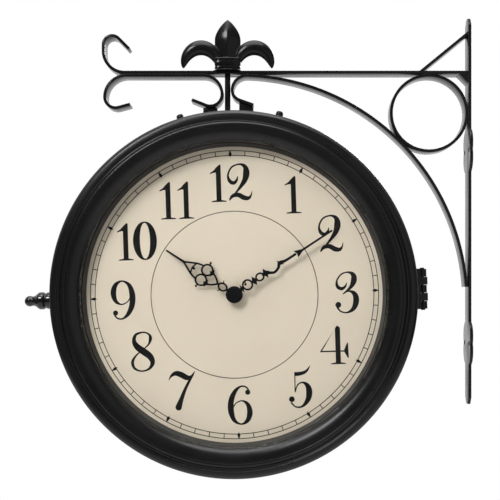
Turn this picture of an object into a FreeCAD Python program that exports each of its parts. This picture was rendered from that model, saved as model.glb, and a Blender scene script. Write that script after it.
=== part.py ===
"""Double sided station clock on an ornamental wall bracket, in millimetres.

The origin lies on the wall, midway between the two screw plates. The wall is the plane X = 0 and the
clock stands out from it towards -X. The front dial looks along -Y, the rear dial along +Y, and Z is up.
"""
import FreeCAD, Part
import math
import os
from types import SimpleNamespace

Vector = FreeCAD.Vector
Rotation = FreeCAD.Rotation
Placement = FreeCAD.Placement

# Driving dimensions. Angles are in degrees and end in _angle, _turn or _lean.
SIZES = {
    # bracket straps
    "strap_width": 20.0,
    "strap_thickness": 3.2,
    "bar_height": 185.0,
    "bar_beyond_arc": 123.6,
    "arc_radius": 241.2,
    "arc_start_angle": 4.0,
    "arc_end_angle": 88.0,
    "strut_foot": 55.0,
    "strut_top": 229.0,
    "gusset_leg": 9.5,
    # wall bar and its two screw plates
    "wall_top": 243.3,
    "wall_bottom": 167.5,
    "wall_taper": 7.4,
    "wall_tip_width": 8.0,
    "plate_spacing": 205.0,
    "plate_height": 46.0,
    "plate_width": 40.0,
    "plate_waist": 36.8,
    "plate_hole_spacing": 26.0,
    "plate_hole": 5.0,
    # upper scroll at the free end of the top bar
    "upper_scroll_radius": 22.5,
    "upper_scroll_rise": 7.0,
    "upper_curl_radius": 9.4,
    "upper_curl_turn": 135.0,
    "upper_scroll_tail": 15.5,
    # strap of two scrolls under the top bar
    "lower_strap_beyond_arc": 43.3,
    "lower_strap_straight": 81.5,
    "left_scroll_radius": 23.0,
    "left_curl_radius": 11.4,
    "left_curl_turn": 105.0,
    "left_scroll_tail": 13.0,
    "right_scroll_radius": 20.0,
    "right_curl_radius": 12.6,
    "right_curl_turn": 111.5,
    "right_scroll_tail": 16.0,
    # scroll at the free end of the arc brace
    "arc_scroll_radius": 15.6,
    "arc_curl_radius": 11.0,
    "arc_curl_turn": 70.4,
    "arc_scroll_tail": 16.0,
    # hanging rod, lugs and screws
    "rod_beyond_arc": 17.8,
    "rod_diameter": 6.0,
    "lug_width": 15.0,
    "lug_depth": 16.0,
    "screw_diameter": 5.0,
    "screw_head": 8.5,
    "screw_head_height": 3.0,
    "screw_grip": 6.0,
    "nut_height": 5.0,
    "nut_flats": 10.0,
    # finial
    "flange_diameter": 34.0,
    "flange_height": 3.4,
    "collar_width": 28.3,
    "collar_height": 9.0,
    "collar_depth": 12.0,
    "petal_width": 28.1,
    "petal_tip": 53.3,
    "petal_belly": 30.5,
    "petal_thickness": 11.0,
    "side_petal_root": 9.5,
    "side_petal_reach": 47.5,
    "side_petal_crest": 24.2,
    "side_petal_width": 15.6,
    "side_petal_thickness": 10.0,
    "petal_edge": 1.0,
    # case
    "case_beyond_arc": 9.4,
    "lug_height": 10.6,
    "case_lean": 1.8,
    "drum_radius": 188.0,
    "drum_wall": 1.8,
    "drum_depth": 40.0,
    "door_gap": 0.4,
    "saddle_thickness": 3.0,
    "saddle_width": 34.0,
    "saddle_half_angle": 21.0,
    "cap_angle": 15.5,
    "cap_height": 17.0,
    "cap_diameter": 8.0,
    "cap_washer": 12.0,
    # face of the clock, measured outwards from the middle plane
    "bezel_face": 50.0,
    "bezel_roll": 2.0,
    "bezel_width": 30.5,
    "bezel_wall": 1.8,
    "bezel_skirt": 12.0,
    "bezel_bead": 11.8,
    "bezel_groove": 3.4,
    "cove_width": 14.5,
    "cove_depth": 9.8,
    "bezel_rim": 4.0,
    "lens_inset": 22.0,
    "lens_face": 38.0,
    "lens_thickness": 3.0,
    "dial_face": 25.0,
    "dial_thickness": 1.0,
    "dial_inset": 33.2,
    "reveal_sheet": 1.2,
    "dial_hole": 8.2,
    "clip_width": 10.0,
    "clip_reach": 6.0,
    "clip_thickness": 1.2,
    "pocket_clearance": 0.3,
    # movement
    "movement_size": 56.0,
    "movement_depth": 15.5,
    "battery_diameter": 14.2,
    "battery_length": 50.2,
    "battery_drop": 17.0,
    "bush_diameter": 8.0,
    "bush_length": 3.6,
    "hand_nut_flats": 12.0,
    "hand_nut_height": 2.2,
    "hour_pipe": 5.2,
    "arbor": 3.2,
    "running_clearance": 0.05,
    "set_wheel_diameter": 13.0,
    "set_wheel_height": 2.4,
    "set_wheel_offset": 15.0,
    # hands
    "hand_thickness": 0.8,
    "hand_gap": 1.6,
    "hand_stroke": 1.8,
    "hand_cap": 17.2,
    "hand_cap_height": 1.2,
    "hand_knot": 3.0,
    "needle_root": 2.6,
    "needle_tip": 0.8,
    "hour_length": 84.0,
    "hour_hub": 16.0,
    "hour_ring": 9.2,
    "hour_ring_at": 14.2,
    "hour_fork_at": 20.5,
    "hour_twin": 13.0,
    "hour_twin_at": 36.9,
    "almond_width": 9.2,
    "almond_foot": 42.0,
    "almond_bridge": 50.5,
    "almond_tip": 62.4,
    "hour_angle": 304.9,
    "minute_length": 120.7,
    "minute_hub": 14.0,
    "minute_bar_at": 10.6,
    "minute_ring": 13.0,
    "minute_ring_at": 17.0,
    "minute_knot_at": 24.8,
    "minute_loop": 8.8,
    "minute_loop_at": 31.0,
    "winding_at": 43.9,
    "winding_radius": 4.8,
    "barb_at": 78.4,
    "minute_angle": 58.5,
    # hinge
    "hinge_radius": 4.5,
    "hinge_stand": 9.4,
    "hinge_height": 42.0,
    "hinge_pin": 3.0,
    "hinge_leaf": 5.5,
    "hinge_leaf_length": 16.0,
    "knuckle_gap": 0.3,
    # latch
    "latch_back": 12.0,
    "stud_diameter": 5.0,
    "hasp_thickness": 2.8,
    "hasp_width": 18.0,
    "knob_diameter": 18.5,
    "knob_flange": 11.5,
    "knob_body": 8.0,
    "knob_neck": 10.0,
    "knob_ball": 11.4,
    "latch_gap": 0.5,
}

doc = FreeCAD.newDocument("station_clock")
sheet = doc.addObject("Spreadsheet::Sheet", "Sizes")
for row, (alias, value) in enumerate(SIZES.items(), start=1):
    sheet.set("A%d" % row, alias)
    sheet.set("B%d" % row, str(value))
    sheet.setAlias("B%d" % row, alias)
doc.recompute()
size = SimpleNamespace(**{alias: float(sheet.get(alias)) for alias in SIZES})
nodes = []

# places that follow from the driving dimensions
bar_reach = size.arc_radius + size.bar_beyond_arc
lower_strap_right = size.arc_radius + size.lower_strap_beyond_arc
case_x = -(size.arc_radius + size.case_beyond_arc)
rod_x = -(size.arc_radius + size.rod_beyond_arc)
bezel_opening = size.drum_radius - size.bezel_width
lens_radius = size.drum_radius - size.lens_inset
dial_opening = size.drum_radius - size.dial_inset


# ------------------------------------------------------------------ how pieces are made

def origin_plane(body, role):
    """The origin plane or axis of a body that has this role."""
    return next(feature for feature in body.Origin.OriginFeatures if feature.Role == role)


def new_body(label, place=None):
    body = doc.addObject("PartDesign::Body", label)
    body.Label = label
    if place is not None:
        body.Placement = place
    return body


def sketch_on(body, role, curves):
    sketch = body.newObject("Sketcher::SketchObject", body.Label + "_sketch")
    sketch.AttachmentSupport = (origin_plane(body, role), [""])
    sketch.MapMode = "FlatFace"
    for curve in curves:
        sketch.addGeometry(curve, False)
    return sketch


def pad(body, role, curves, length, symmetric=False, flip=False):
    """Raise a sketch by a length that the sheet holds."""
    feature = body.newObject("PartDesign::Pad", body.Label + "_pad")
    feature.Profile = sketch_on(body, role, curves)
    feature.setExpression("Length", length)
    feature.SideType = "Symmetric" if symmetric else "One side"
    feature.Reversed = flip
    return feature


def revolve(body, curves, axis="V_Axis", role="XY_Plane"):
    """Turn a sketch of radius and depth right round the body's own axis."""
    feature = body.newObject("PartDesign::Revolution", body.Label + "_turn")
    sketch = sketch_on(body, role, curves)
    feature.Profile = sketch
    feature.ReferenceAxis = (sketch, [axis])
    feature.Angle = 360
    return feature


def outline(*points):
    """Closed outline: a point is (x, y), and (x, y, mx, my) reaches x, y by an arc through mx, my."""
    curves = []
    last = Vector(points[-1][0], points[-1][1], 0)
    for point in points:
        here = Vector(point[0], point[1], 0)
        if len(point) == 4:
            curves.append(Part.Arc(last, Vector(point[2], point[3], 0), here))
        else:
            curves.append(Part.LineSegment(last, here))
        last = here
    return curves


def circle(x, y, radius):
    return Part.Circle(Vector(x, y, 0), Vector(0, 0, 1), radius)


def ring(outer, inner, back, front):
    """Section of a plain ring between two radii and two depths."""
    return outline((inner, back), (outer, back), (outer, front), (inner, front))


def cylinder(radius, start, direction, length):
    return Part.makeCylinder(radius, length, start, direction)


def hexagon(flats, height, start, direction):
    """Hexagonal prism across the given flats, standing on start."""
    corner = flats / 2 / math.cos(math.pi / 6)
    points = [Vector(corner * math.cos(k * math.pi / 3), corner * math.sin(k * math.pi / 3), 0)
              for k in range(7)]
    prism = Part.Face(Part.makePolygon(points)).extrude(Vector(0, 0, height))
    prism.Placement = Placement(start, Rotation(Vector(0, 0, 1), direction))
    return prism


def formed(label, shape, place=None):
    """A piece whose form is set by booleans or lofts."""
    piece = doc.addObject("Part::Feature", label)
    piece.Label = label
    piece.Shape = shape
    if place is not None:
        piece.Placement = place
    nodes.append(piece)
    return piece


def drilled(label, base, *tools):
    """A piece with holes bored through it."""
    bores = doc.addObject("Part::Feature", label + "_bores")
    bores.Shape = Part.Compound(list(tools))
    piece = doc.addObject("Part::Cut", label)
    piece.Base = base
    piece.Tool = bores
    base.Label = label + "_blank"
    piece.Label = label
    nodes.append(piece)
    return piece


# ------------------------------------------------------------------ bent straps

def follow(start, heading, moves):
    """Walk a strap's middle line. A move is (length,) straight on, or (radius, turn) with left positive."""
    x, y = start
    angle = math.radians(heading)
    spans = []
    for move in moves:
        if len(move) == 1:
            end = (x + move[0] * math.cos(angle), y + move[0] * math.sin(angle))
            spans.append((None, (x, y), end, angle, angle))
            x, y = end
        else:
            radius, turn = move
            side = math.copysign(1, turn)
            centre = (x - side * radius * math.sin(angle), y + side * radius * math.cos(angle))
            new_angle = angle + math.radians(turn)
            end = (centre[0] + side * radius * math.sin(new_angle),
                   centre[1] - side * radius * math.cos(new_angle))
            spans.append((centre, (x, y), end, angle, new_angle))
            x, y = end
            angle = new_angle
    return spans


def beside(point, angle, offset):
    return Vector(point[0] - offset * math.sin(angle), point[1] + offset * math.cos(angle), 0)


def strap_edges(spans, offset):
    """The edge of a strap that lies to the left of its middle line by the offset."""
    edges = []
    for centre, start, end, first, last in spans:
        a = beside(start, first, offset)
        b = beside(end, last, offset)
        if centre is None:
            edges.append((a, b, None))
        else:
            side = math.copysign(1, last - first)
            radius = math.hypot(start[0] - centre[0], start[1] - centre[1])
            half = (first + last) / 2
            middle = (centre[0] + side * radius * math.sin(half), centre[1] - side * radius * math.cos(half))
            edges.append((a, b, beside(middle, half, offset)))
    return edges


def strap_outline(thickness, *arms):
    """Outline of a strap with one arm, or with two that leave the same point in opposite ways."""
    half = thickness / 2
    loop = []
    for spans in arms:
        loop += strap_edges(spans, half)
        loop += [(b, a, middle) for a, b, middle in reversed(strap_edges(spans, -half))]
    curves = []
    last = loop[-1][1]
    for a, b, middle in loop:
        if (a - last).Length > 1e-6:
            curves.append(Part.LineSegment(last, a))
        curves.append(Part.LineSegment(a, b) if middle is None else Part.Arc(a, middle, b))
        last = b
    return curves


def strap(label, *arms):
    """A flat strap bent on its edge line, as wide as the bracket's straps are."""
    body = new_body(label)
    pad(body, "XZ_Plane", strap_outline(size.strap_thickness, *arms), "Sizes.strap_width", symmetric=True)
    return body


half_strap = size.strap_thickness / 2
wall_face = -size.strap_thickness
under_height = size.bar_height - size.strap_thickness

top_path = follow((wall_face, size.bar_height), 180, [
    (bar_reach,),
    (size.upper_scroll_radius, -90),
    (size.upper_scroll_rise,),
    (size.upper_curl_radius, -size.upper_curl_turn),
    (size.upper_scroll_tail,),
])
left_path = follow((-lower_strap_right, under_height), 180, [
    (size.lower_strap_straight,),
    (size.left_scroll_radius, 90),
    (size.left_curl_radius, size.left_curl_turn),
    (size.left_scroll_tail,),
])
right_path = follow((-lower_strap_right, under_height), 0, [
    (size.right_scroll_radius, -90),
    (size.right_curl_radius, -size.right_curl_turn),
    (size.right_scroll_tail,),
])
arc_centre = (wall_face - half_strap - size.arc_radius, under_height - size.arc_radius)
arc_start = math.radians(size.arc_start_angle)
arc_path = follow(
    (arc_centre[0] + size.arc_radius * math.cos(arc_start),
     arc_centre[1] + size.arc_radius * math.sin(arc_start)),
    size.arc_start_angle + 90, [
        (size.arc_radius, size.arc_end_angle - size.arc_start_angle),
        (size.arc_scroll_radius, 180 - size.arc_end_angle),
        (size.arc_curl_radius, size.arc_curl_turn),
        (size.arc_scroll_tail,),
    ])

# ------------------------------------------------------------------ wall bar

wall_bar = new_body("wall_bar")


def plate_edge(centre, side):
    """One side of a screw plate, going up: two lobes that meet at a shallow waist."""
    bar = side * size.strap_width / 2
    lobe = side * size.plate_width / 2
    waist = side * size.plate_waist / 2
    low = centre - size.plate_height / 2
    high = centre + size.plate_height / 2
    return [(bar, low),
            (waist, centre, lobe, centre - size.plate_height / 4),
            (bar, high, lobe, centre + size.plate_height / 4)]


def mirrored(points):
    """The same edge on the other side of the bar, walked the other way."""
    back = []
    for index in range(len(points) - 1, -1, -1):
        arc = points[index + 1] if index + 1 < len(points) else ()
        back.append((-points[index][0], points[index][1]) + tuple(
            (-arc[2], arc[3]) if len(arc) == 4 else ()))
    return back


tip = size.wall_tip_width / 2
half_bar = size.strap_width / 2
right_edge = [(tip, -size.wall_bottom), (half_bar, -size.wall_bottom + size.wall_taper)]
right_edge += plate_edge(-size.plate_spacing / 2, 1)
right_edge += plate_edge(size.plate_spacing / 2, 1)
right_edge += [(half_bar, size.wall_top - size.wall_taper), (tip, size.wall_top)]
pad(wall_bar, "YZ_Plane", outline(*right_edge, *mirrored(right_edge)), "Sizes.strap_thickness", flip=True)
screw_holes = [cylinder(size.plate_hole / 2, Vector(wall_face - 1, y * size.plate_hole_spacing / 2, z),
                        Vector(1, 0, 0), size.strap_thickness + 2)
               for y in (-1, 1) for z in (-size.plate_spacing / 2, size.plate_spacing / 2)]
drilled("wall_bar", wall_bar, *screw_holes)

# ------------------------------------------------------------------ straps of the bracket

rod_hole = cylinder(size.rod_diameter / 2, Vector(rod_x, 0, 0), Vector(0, 0, 1), size.wall_top)
drilled("top_bar", strap("top_bar", top_path), rod_hole)
nodes.append(strap("twin_scroll_strap", left_path, right_path))
nodes.append(strap("arc_brace", arc_path))

# the ring touches the top bar, the wall bar and the arc brace
ring_radius = (size.arc_radius + half_strap) * (math.sqrt(2) - 1) / (math.sqrt(2) + 1)
ring_x = wall_face - ring_radius
ring_z = size.bar_height - half_strap - ring_radius
bracket_ring = new_body("bracket_ring")
pad(bracket_ring, "XZ_Plane", [circle(ring_x, ring_z, ring_radius),
                               circle(ring_x, ring_z, ring_radius - size.strap_thickness)],
    "Sizes.strap_width", symmetric=True)
nodes.append(bracket_ring)

bar_top = size.bar_height + half_strap
bar_under = size.bar_height - half_strap
rise = size.strut_top - bar_top
run = size.strut_foot + wall_face
along = size.strap_thickness * math.hypot(run, rise) / rise
down = size.strap_thickness * math.hypot(run, rise) / run
diagonal_strut = new_body("diagonal_strut")
pad(diagonal_strut, "XZ_Plane", outline(
    (-size.strut_foot, bar_top), (-size.strut_foot + along, bar_top),
    (wall_face, size.strut_top - down), (wall_face, size.strut_top)), "Sizes.strap_width", symmetric=True)
nodes.append(diagonal_strut)

corner_gusset = new_body("corner_gusset")
pad(corner_gusset, "XZ_Plane", outline(
    (wall_face, bar_under), (wall_face - size.gusset_leg, bar_under), (wall_face, bar_under - size.gusset_leg)),
    "Sizes.strap_width", symmetric=True)
nodes.append(corner_gusset)

# ------------------------------------------------------------------ finial

flange = new_body("finial_flange", Placement(Vector(rod_x, 0, bar_top), Rotation()))
rod_radius = size.rod_diameter / 2
flange_top = bar_top + size.flange_height
revolve(flange, outline(
    (rod_radius, 0), (size.flange_diameter / 2, 0), (size.flange_diameter / 2, size.flange_height * 0.2),
    (size.flange_diameter / 3, size.flange_height * 0.75), (size.collar_depth / 2, size.flange_height),
    (rod_radius, size.flange_height)), axis="V_Axis", role="XZ_Plane")
nodes.append(flange)


# an eight cornered oval is drawn a little full, so that it is as wide as the round one
OVAL_SIDE = 1 / math.cos(math.pi / 8)


def leaf_section(height, half_width, half_depth):
    """Four cornered section of the centre petal: creased down the front and the back."""
    return Part.makePolygon([Vector(half_width, 0, height), Vector(0, -half_depth, height),
                             Vector(-half_width, 0, height), Vector(0, half_depth, height),
                             Vector(half_width, 0, height)])


def oval_section(x, z, half_width, half_depth, heading):
    """Eight cornered oval across a side petal, at right angles to the way that the petal runs."""
    angle = math.radians(heading)
    across = Vector(-math.sin(angle), 0, math.cos(angle))
    points = []
    for corner in range(9):
        turn = math.radians(45 * corner + 22.5)
        points.append(Vector(x, 0, z) + across * (half_width * math.cos(turn) * OVAL_SIDE)
                      + Vector(0, half_depth * math.sin(turn) * OVAL_SIDE, 0))
    return Part.makePolygon(points)


def side_petal(side):
    """Petal that rises from the collar, rolls over and hangs down to a point, on half an ellipse."""
    middle = (size.side_petal_reach + size.side_petal_root) / 2
    half_span = (size.side_petal_reach - size.side_petal_root) / 2
    climb = size.side_petal_crest - size.petal_edge
    steps = 7
    wires = []
    for step in range(steps + 1):
        turn = math.pi * (1 - step / steps)
        x = middle + half_span * math.cos(turn)
        z = size.petal_edge + climb * math.sin(turn)
        swell = math.sin(turn) ** 0.6
        half_width = size.petal_edge / 2 + (size.side_petal_width - size.petal_edge) / 2 * swell
        half_depth = size.petal_edge / 2 + (size.side_petal_thickness - size.petal_edge) / 2 * swell
        heading = math.degrees(math.atan2(-climb * math.cos(turn), half_span * math.sin(turn)))
        wires.append(oval_section(side * x, z, half_width, half_depth, heading if side > 0 else 180 - heading))
    return Part.makeLoft(wires, True, True)


def centre_petal():
    """Leaf whose width swells to the belly and runs out to a point."""
    waist = 0.42
    belly = size.petal_belly / size.petal_tip
    steps = 7
    wires = []
    for step in range(steps + 1):
        level = step / steps
        if level < belly:
            swell = waist + (1 - waist) * math.sin(math.pi / 2 * level / belly)
        else:
            swell = math.cos(math.pi / 2 * (level - belly) / (1 - belly)) ** 0.9
        half_width = max(size.petal_width * swell, size.petal_edge) / 2
        half_depth = max(size.petal_thickness * swell, size.petal_edge) / 2
        wires.append(leaf_section(size.petal_tip * level, half_width, half_depth))
    return Part.makeLoft(wires, True, True)


collar = Part.makeBox(size.collar_width, size.collar_depth, size.collar_height,
                      Vector(-size.collar_width / 2, -size.collar_depth / 2, 0))
collar = collar.makeFillet(size.collar_height / 4, [edge for edge in collar.Edges
                                                    if abs(edge.tangentAt(0).z) < 0.5])
finial_shape = collar.fuse([centre_petal(), side_petal(1), side_petal(-1)])
rod_socket = size.collar_height * 0.7
finial_shape = finial_shape.cut(cylinder(rod_radius, Vector(0, 0, -1), Vector(0, 0, 1), rod_socket + 1))
formed("fleur_finial", finial_shape, Placement(Vector(rod_x, 0, flange_top), Rotation()))

# ------------------------------------------------------------------ case frame

# the case hangs a lug's height below the low scroll
scroll_low = right_path[1]
low_z = scroll_low[0][1] - size.right_curl_radius - half_strap
case_z = low_z - size.lug_height - size.drum_radius
case = Placement(Vector(case_x, 0, case_z), Rotation(Vector(0, 1, 0), -size.case_lean))
half_drum = size.drum_depth / 2
drum_inner = size.drum_radius - size.drum_wall
saddle_inner = drum_inner - size.saddle_thickness


def radial(angle, radius, depth=0.0):
    """Place in the case whose Z points outwards at a clock angle."""
    turn = math.radians(angle)
    here = Vector(radius * math.sin(turn), depth, radius * math.cos(turn))
    return case.multiply(Placement(here, Rotation(Vector(0, 1, 0), angle)))


def placed(shape, place):
    shape.Placement = place.multiply(shape.Placement)
    return shape


def polar(radius, angle):
    """Point in the plane of the case at a clock angle."""
    return (radius * math.sin(math.radians(angle)), radius * math.cos(math.radians(angle)))


# ------------------------------------------------------------------ lugs that the case hangs from

lug_left_x = scroll_low[0][0]
tail = arc_path[-1]
tail_slope = math.tan(tail[3])
lug_right_x = (tail[1][0] + tail[2][0]) / 2
tail_under = (tail[1][1] + tail[2][1]) / 2 - half_strap / math.cos(tail[3])
case_solid = cylinder(size.drum_radius, Vector(0, -size.strap_width, 0), Vector(0, 1, 0), 2 * size.strap_width)
placed(case_solid, case)


def lug(x, top, slope):
    """Block that is saddled on the drum and meets the strap above it."""
    left = x - size.lug_width / 2
    right = x + size.lug_width / 2
    floor = case_z + size.drum_radius * 0.9
    corners = [Vector(left, 0, floor), Vector(right, 0, floor),
               Vector(right, 0, top + slope * size.lug_width / 2),
               Vector(left, 0, top - slope * size.lug_width / 2), Vector(left, 0, floor)]
    block = Part.Face(Part.makePolygon(corners)).extrude(Vector(0, size.lug_depth, 0))
    block.translate(Vector(0, -size.lug_depth / 2, 0))
    return block.cut(case_solid)


def lug_angle(x):
    """Clock angle in the case of a lug that stands above a given X."""
    return math.degrees(math.asin((x - case_x) / size.drum_radius)) + size.case_lean


lug_angles = [lug_angle(lug_left_x), lug_angle(lug_right_x)]
lug_bores = [placed(cylinder(size.screw_diameter / 2, Vector(0, 0, 0), Vector(0, 0, 1), size.screw_grip),
                    radial(angle, size.drum_radius)) for angle in lug_angles]
lugs = [lug(lug_left_x, low_z, 0), lug(lug_right_x, tail_under, tail_slope)]
formed("hanger_lugs", Part.Compound([block.cut(bore) for block, bore in zip(lugs, lug_bores)]))

# ------------------------------------------------------------------ drum, saddle and what fastens them

wall_stack = size.drum_wall + size.saddle_thickness


def through_wall(angle, diameter):
    """Bore through the drum and the saddle."""
    bore = cylinder(diameter / 2, Vector(0, 0, -wall_stack - 2), Vector(0, 0, 1), wall_stack + 4)
    return placed(bore, radial(angle, size.drum_radius))


cap_angles = [-size.cap_angle, size.cap_angle]
drum_bores = [through_wall(angle, size.screw_diameter) for angle in lug_angles + cap_angles]
rod_bottom = case_z + saddle_inner - size.nut_height - 3
rod_bore = cylinder(rod_radius, Vector(rod_x, 0, rod_bottom), Vector(0, 0, 1), 30)
latch_bore = placed(cylinder(size.stud_diameter / 2, Vector(0, 0, -wall_stack - 2), Vector(0, 0, 1), wall_stack + 4),
                    radial(-90, size.drum_radius, -size.latch_back))

drum = new_body("case_drum", case)
revolve(drum, ring(size.drum_radius, drum_inner, half_drum, -half_drum))
drilled("case_drum", drum, *drum_bores, rod_bore, latch_bore)

saddle = new_body("saddle_strap", case)
edge = size.saddle_half_angle
pad(saddle, "XZ_Plane", outline(
    polar(drum_inner, -edge), polar(drum_inner, edge) + polar(drum_inner, 0),
    polar(saddle_inner, edge), polar(saddle_inner, -edge) + polar(saddle_inner, 0)),
    "Sizes.saddle_width", symmetric=True)
drilled("saddle_strap", saddle, *[bore.copy() for bore in drum_bores], rod_bore.copy())


def lug_screw(angle):
    """Screw that comes up from inside the case into a lug."""
    head = cylinder(size.screw_head / 2, Vector(0, 0, -wall_stack - size.screw_head_height - 0.1),
                    Vector(0, 0, 1), size.screw_head_height)
    shank = cylinder(size.screw_diameter / 2, Vector(0, 0, -wall_stack - 0.2), Vector(0, 0, 1),
                     wall_stack + size.screw_grip)
    screw = head.fuse(shank)
    return placed(screw, radial(angle, size.drum_radius))


formed("lug_screws", Part.Compound([lug_screw(angle) for angle in lug_angles]))


def cap_screw(angle):
    """Tall round headed screw on a washer, which holds the saddle in the top of the drum."""
    half = size.cap_diameter / 2
    washer = cylinder(size.cap_washer / 2, Vector(0, 0, 0.15), Vector(0, 0, 1), 2)
    head = cylinder(half, Vector(0, 0, 0.15), Vector(0, 0, 1), size.cap_height - half)
    dome = Part.makeCone(half, half * 0.4, half * 0.7, Vector(0, 0, size.cap_height - half + 0.15))
    shank = cylinder(size.screw_diameter / 2, Vector(0, 0, -wall_stack), Vector(0, 0, 1), wall_stack + 1)
    return placed(shank.fuse([washer, head, dome]), radial(angle, size.drum_radius))


formed("cap_screws", Part.Compound([cap_screw(angle) for angle in cap_angles]))

rod_top = flange_top + rod_socket
formed("hanger_rod", cylinder(rod_radius, Vector(rod_x, 0, rod_bottom), Vector(0, 0, 1), rod_top - rod_bottom))

# the nut bears on the saddle where the rod comes through
nut_x = rod_x - case_x
nut_top = case_z + math.sqrt(saddle_inner ** 2 - (abs(nut_x) + size.nut_flats / 1.7) ** 2)
rod_nut = hexagon(size.nut_flats, size.nut_height, Vector(rod_x, 0, nut_top - size.nut_height), Vector(0, 0, 1))
formed("rod_nut", rod_nut.cut(cylinder(rod_radius, Vector(rod_x, 0, 0), Vector(0, 0, 1), size.wall_top)))

# ------------------------------------------------------------------ one face of the clock
# Every piece is drawn for the front, with its depth counted towards -Y, and the rear face is the same
# set turned half round about the upright line through the middle of the case.

lens_back = size.lens_face - size.lens_thickness
dial_back = size.dial_face - size.dial_thickness
pocket = lens_radius + size.pocket_clearance
join = half_drum + size.door_gap
hour_depth = size.dial_face + size.bush_length + 0.4
minute_depth = hour_depth + size.hand_thickness + size.hand_gap


def bezel_section(back):
    """Moulded front of the bezel, hollow behind: skirt, roll, groove, bead, cove and lip."""
    skirt = size.drum_radius
    face = size.bezel_face
    bead = skirt - size.bezel_bead
    cove = bezel_opening + size.cove_width
    shoulder = face - size.cove_depth
    rim = pocket + size.bezel_rim
    ceiling = face - size.bezel_groove - size.bezel_wall
    half_cove = math.sqrt(0.5)
    return outline(
        (skirt, -back),
        (skirt, size.bezel_skirt - face),
        (skirt + size.bezel_roll, size.bezel_skirt * 0.62 - face),
        (skirt - size.bezel_roll, size.bezel_roll - face),
        (bead + size.bezel_roll, size.bezel_groove - face),
        (bead, -face),
        (cove, size.bezel_roll / 2 - face),
        (cove - size.cove_width * (1 - half_cove), size.cove_depth * half_cove - face),
        (bezel_opening, -shoulder),
        (bezel_opening, -size.lens_face),
        (pocket, -size.lens_face),
        (pocket, -back),
        (rim, -back),
        (rim, -ceiling),
        (skirt - size.bezel_wall, -ceiling),
        (skirt - size.bezel_wall, -back))


def loop(x, y, radius):
    """Pierced round of a hand, cut from flat sheet."""
    outer = Part.Face(Part.Wire(circle(x, y, radius).toShape()))
    inner = Part.Face(Part.Wire(circle(x, y, radius - size.hand_stroke).toShape()))
    return outer.cut(inner)


def bar(x1, y1, x2, y2, width1, width2):
    """Straight stroke of a hand that tapers from one width to the other."""
    angle = math.atan2(y2 - y1, x2 - x1)
    corners = [beside((x1, y1), angle, width1 / 2), beside((x1, y1), angle, -width1 / 2),
               beside((x2, y2), angle, -width2 / 2), beside((x2, y2), angle, width2 / 2)]
    return Part.Face(Part.makePolygon(corners + corners[:1]))


def diamond(x, y, half_width, half_height):
    corners = [Vector(x + half_width, y, 0), Vector(x, y + half_height, 0),
               Vector(x - half_width, y, 0), Vector(x, y - half_height, 0)]
    return Part.Face(Part.makePolygon(corners + corners[:1]))


def winding(path):
    """Stroke of even width that winds along a path."""
    curves = strap_outline(size.hand_stroke, path)
    return Part.Face(Part.Wire([curve.toShape() for curve in curves]))


def hub(diameter):
    return Part.Face(Part.Wire(circle(0, 0, diameter / 2).toShape()))


def hour_strokes():
    """Pierced hour hand: ring, fork with two knots, pair of rounds, open almond and needle."""
    stroke = size.hand_stroke
    knot = size.hand_knot
    twin_x = (size.hour_twin - stroke) / 2
    twin_low = size.hour_twin_at - size.hour_twin / 2
    almond = size.almond_width / 2
    strokes = [
        hub(size.hour_hub),
        bar(0, size.hour_hub / 3, 0, size.hour_fork_at, stroke * 1.5, stroke),
        loop(0, size.hour_ring_at, size.hour_ring / 2),
        bar(0, size.hour_twin_at, 0, size.hour_twin_at + size.hour_twin / 2, stroke, stroke),
        bar(-almond, size.almond_foot, almond, size.almond_foot, stroke, stroke),
        bar(-almond / 2, size.almond_bridge, almond / 2, size.almond_bridge, stroke, stroke),
        bar(0, size.almond_tip - knot, 0, size.hour_length, size.needle_root, size.needle_tip),
    ]
    for side in (-1, 1):
        strokes += [
            diamond(side * (size.hour_ring / 2 + stroke / 2), size.hour_ring_at, stroke, stroke / 2),
            bar(0, size.hour_fork_at - stroke / 2, side * twin_x, twin_low, stroke, stroke),
            diamond(side * twin_x, twin_low, knot, knot),
            loop(side * twin_x, size.hour_twin_at, size.hour_twin / 2),
            diamond(side * (twin_x + size.hour_twin / 2), size.hour_twin_at, stroke, stroke / 2),
            bar(side * almond, size.almond_foot, 0, size.almond_tip, stroke, stroke),
        ]
    return strokes


def minute_strokes():
    """Pierced minute hand: ring, knot, loop, second knot, winding stem, barb and needle."""
    stroke = size.hand_stroke
    knot = size.hand_knot
    half_bar = size.minute_ring / 4
    wind = size.winding_radius
    path = follow((-stroke, size.winding_at), 0, [
        (stroke,), (wind, 150), (wind * 0.9, -135), (wind, 150), (wind,)])
    path_end = path[-1][2]
    return [
        hub(size.minute_hub),
        bar(0, size.minute_hub / 3, 0, size.winding_at, stroke * 1.5, stroke),
        bar(-half_bar, size.minute_bar_at, half_bar, size.minute_bar_at, stroke, stroke),
        loop(0, size.minute_ring_at, size.minute_ring / 2),
        diamond(0, size.minute_knot_at, knot * 1.5, knot * 0.7),
        loop(0, size.minute_loop_at, size.minute_loop / 2),
        diamond(0, size.minute_loop_at + size.minute_loop / 2 + knot, knot * 1.6, knot * 0.9),
        winding(path),
        bar(path_end[0] + stroke / 2, path_end[1] - stroke / 4, 0, size.barb_at, stroke, stroke),
        diamond(0, size.barb_at, knot * 1.6, knot * 1.1),
        bar(0, size.barb_at - knot, 0, size.minute_length, size.needle_root, size.needle_tip),
    ]


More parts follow.
